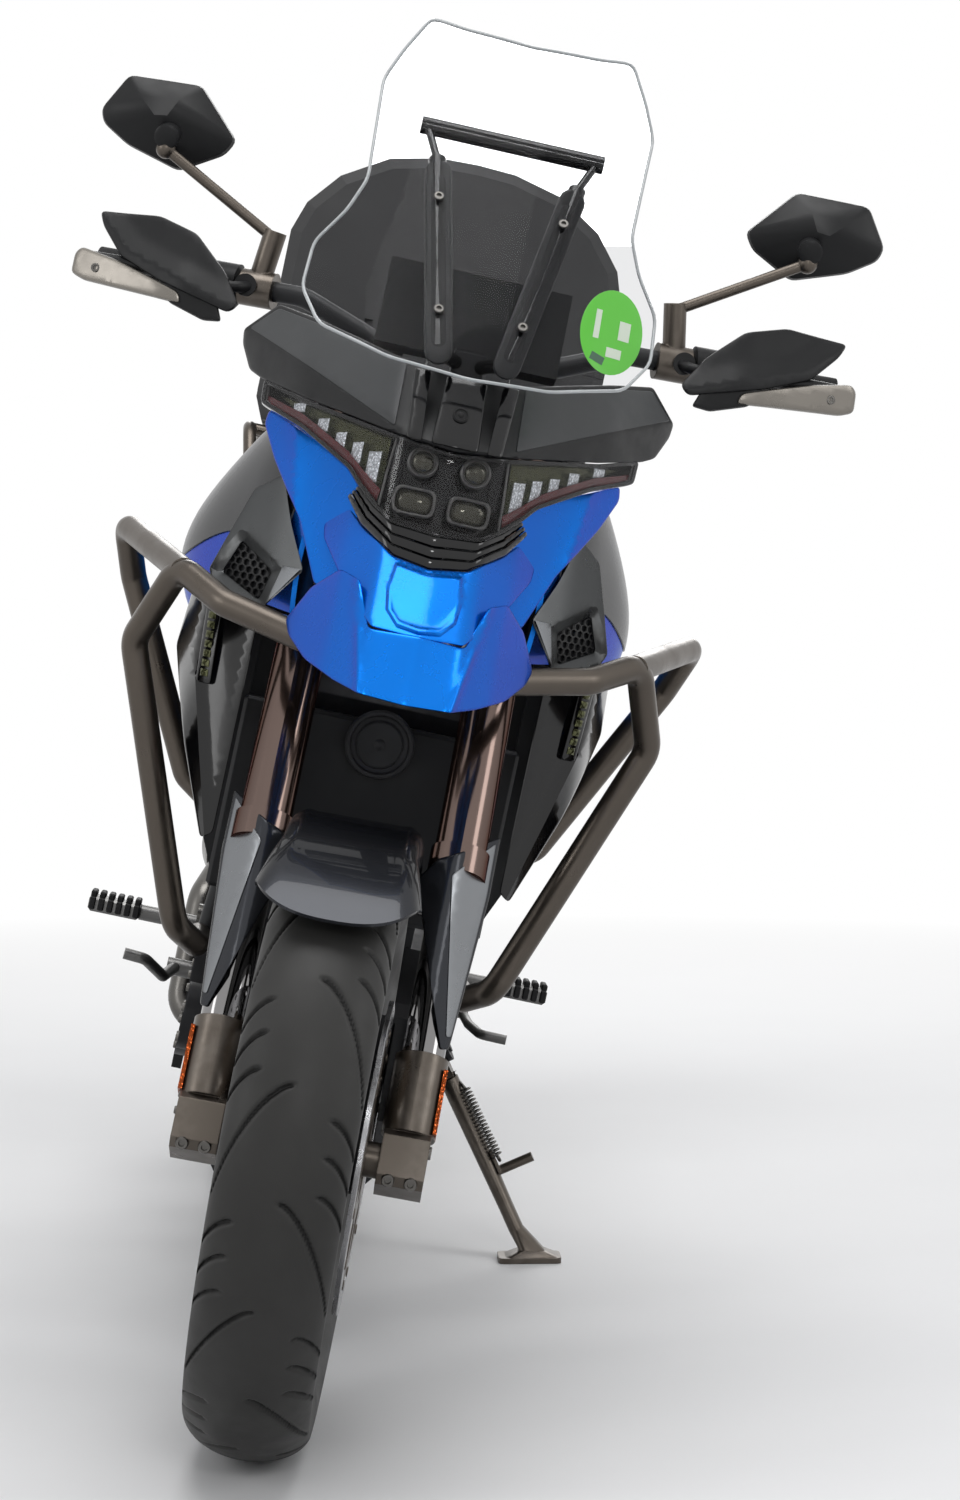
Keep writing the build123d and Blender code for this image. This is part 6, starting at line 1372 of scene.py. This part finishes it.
def stuffed(name, known, profile):
    """A padded seat: a rounded start shape, remeshed, blown up by cloth pressure and smoothed.

    Profile rows are half width, low and high at the known forward places.
    """
    at = np.linspace(known[0], known[-1], 26)
    rows = np.array([np.interp(at, known, [p[k] for p in profile]) for k in range(3)]).T
    verts, count = [], 40
    for x, (half, low, high) in zip(at, rows):
        for k in range(count):
            a = 2 * math.pi * k / count
            y = half * blunt(math.cos(a))
            z = (low + high) / 2 + (high - low) / 2 * blunt(math.sin(a))
            verts.append(FIXED @ (Vector((x, y, z)) * MM))
    mesh = bpy.data.meshes.new(name + "_start")
    mesh.from_pydata(verts, [], tube_faces(len(at), count))
    soft = bpy.data.objects.new(name + "_start", mesh)
    bpy.context.scene.collection.objects.link(soft)

    def applied(kind, **settings):
        step = soft.modifiers.new(kind, kind)
        for key, value in settings.items():
            setattr(step, key, value)
        graph = bpy.context.evaluated_depsgraph_get()
        result = bpy.data.meshes.new_from_object(soft.evaluated_get(graph))
        soft.modifiers.clear()
        soft.data = result

    applied("REMESH", mode="VOXEL", voxel_size=SEAT_VOXEL)
    before = np.array([v.co[:] for v in soft.data.vertices])
    cloth = soft.modifiers.new("cloth", "CLOTH")
    cloth.settings.quality = 4
    cloth.settings.use_pressure = True
    cloth.settings.uniform_pressure_force = PRESSURE
    cloth.settings.effector_weights.gravity = 0.0
    cloth.point_cache.frame_start, cloth.point_cache.frame_end = 1, CLOTH_FRAMES
    for frame_number in range(1, CLOTH_FRAMES + 1):
        bpy.context.scene.frame_set(frame_number)
    graph = bpy.context.evaluated_depsgraph_get()
    after = np.array([v.co[:] for v in soft.evaluated_get(graph).data.vertices])
    soft.modifiers.clear()
    move = after - before
    size = np.maximum(np.linalg.norm(move, axis=1), 1e-9)[:, None]
    move *= np.minimum(size, PUFF * MM) / size
    for vert, place_now in zip(soft.data.vertices, before + move):
        vert.co = place_now
    bpy.context.scene.frame_set(1)
    applied("SUBSURF", levels=1)
    back = FIXED.inverted()
    points = np.array([tuple(back @ v.co / MM) for v in soft.data.vertices])
    low = np.interp(points[:, 0], known, [p[1] for p in profile]) - 3.0
    high = np.interp(points[:, 0], known, [p[2] for p in profile])
    points[:, 2] = np.maximum(points[:, 2], low)
    points[:, 0] = np.clip(points[:, 0], known[0] - 5.0, known[-1] + 5.0)
    half = np.interp(points[:, 0], known, [p[0] for p in profile])
    seam = SEAM_DEPTH * np.exp(-(((points[:, 2] - (high - SEAM_DROP)) / 2.6) ** 2))
    points[:, 1] -= np.sign(points[:, 1]) * seam * (np.abs(points[:, 1]) > half * 0.7)
    for channel in np.arange(known[0] + 60, known[-1] - 40, CHANNEL_STEP):
        on_top = (points[:, 2] > high - 9) & (np.abs(points[:, 1]) < half * 0.78)
        points[:, 2] -= CHANNEL_DEPTH * np.exp(-(((points[:, 0] - channel) / 3.2) ** 2)) * on_top
    faces = [list(p.vertices) for p in soft.data.polygons]
    bpy.data.objects.remove(soft)
    made = piece(name, points.tolist(), faces, "seat", smooth=True)
    return made


rider = stuffed(
    "rider_seat", [-419, -392, -300, -190, -80, -34],
    [(118, 806, 868), (120, 806, 846), (122, 803, 826), (112, 800, 830), (88, 799, 836), (72, 799, 858)],
)
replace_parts(rider, "seats")
stuffed(
    "pillion_seat", [-782, -760, -560, -436], [(84, 866, 884), (92, 862, 905), (98, 838, 899), (96, 812, 889)]
)


# ---- tyres
TREADS = 9
GROOVE_DEPTH = 5.5
CROWN_SHARE = 0.72
CROWN_TURN = math.radians(78)
CROWN_DROP = 1.02
TYRE_ROWS = 84
TYRE_STEPS = 900


def groove(angle, across, offset, start, end, lean, width):
    """How deep a slanting groove cuts at an angle round the tyre and a share across it, from 0 to 1."""
    step = 2 * math.pi / TREADS
    share = np.clip((across - start) / (end - start), 0, 1)
    middle = offset + lean * share**1.55
    off = np.mod(angle - middle + step / 2, step) - step / 2
    taper = np.sqrt(np.clip(1 - (2 * share - 1) ** 4, 0, 1))
    reach = width * (0.35 + 0.65 * taper)
    cut = np.clip(1.35 - np.abs(off) / reach, 0, 1)
    return np.where((across > start) & (across < end), cut, 0.0)


def tread_tyre(name, node, body, axle, radius, width, rim_width, bead):
    """A road tyre with curved grooves cut into its crown."""
    half = width / 2
    crown = radius - half * 0.62
    shares = np.linspace(-1, 1, TYRE_ROWS)
    edge_r = radius - (radius - crown) * (1 - math.cos(CROWN_TURN)) * CROWN_DROP
    profile = []
    for s in shares:
        a = abs(s)
        if a < CROWN_SHARE:
            t = a / CROWN_SHARE * CROWN_TURN
            y = half * math.sin(t) / math.sin(CROWN_TURN)
            r = radius - (radius - crown) * (1 - math.cos(t)) * CROWN_DROP
        else:
            u = (a - CROWN_SHARE) / (1 - CROWN_SHARE)
            y = half - (half - rim_width / 2) * u**1.6
            r = edge_r + (bead + 4 - edge_r) * u
        profile.append((math.copysign(y, s), r))
    profile = np.array(profile)
    grid = np.linspace(0, 2 * math.pi, TYRE_STEPS, endpoint=False)[:, None]
    across = np.abs(shares)[None, :] / CROWN_SHARE
    pitch = 2 * math.pi / TREADS
    sides = []
    for back in (0.0, pitch / 2):
        cuts = [groove(grid, across, back, 0.03, 0.93, -0.37, 0.0105)]
        cuts += [
            groove(grid, across, back + s * pitch, 0.45, 0.98, -0.11, 0.0095) for s in (0.05, 0.22, 0.38)
        ]
        sides.append(np.maximum.reduce(cuts))
    place_r = profile[None, :, 1] - GROOVE_DEPTH * np.where(shares[None, :] > 0, *sides)
    x = axle[0] + place_r * np.cos(grid)
    z = axle[2] + place_r * np.sin(grid)
    y = np.broadcast_to(profile[None, :, 0], x.shape)
    verts = np.stack([x, y, z], -1).reshape(-1, 3)
    i = np.arange(TYRE_STEPS)[:, None] * TYRE_ROWS
    n = np.roll(i, -1)
    k = np.arange(TYRE_ROWS - 1)[None, :]
    quads = np.stack([i + k, n + k, n + k + 1, i + k + 1], -1).reshape(-1, 4)
    last = TYRE_ROWS - 1
    lip = np.stack([i[:, 0] + last, n[:, 0] + last, n[:, 0], i[:, 0]], -1)
    made = piece(name, verts.tolist(), np.vstack([quads, lip]).tolist(), "tyre", body, smooth=True)
    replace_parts(made, node)


tread_tyre("front_tyre_skin", "front_tyre", "front_wheel", FRONT_AXLE, 300.0, 120.0, 90.0, 216.0)
tread_tyre("rear_tyre_skin", "rear_tyre", "rear_wheel", REAR_AXLE, 312.0, 160.0, 118.0, 216.0)
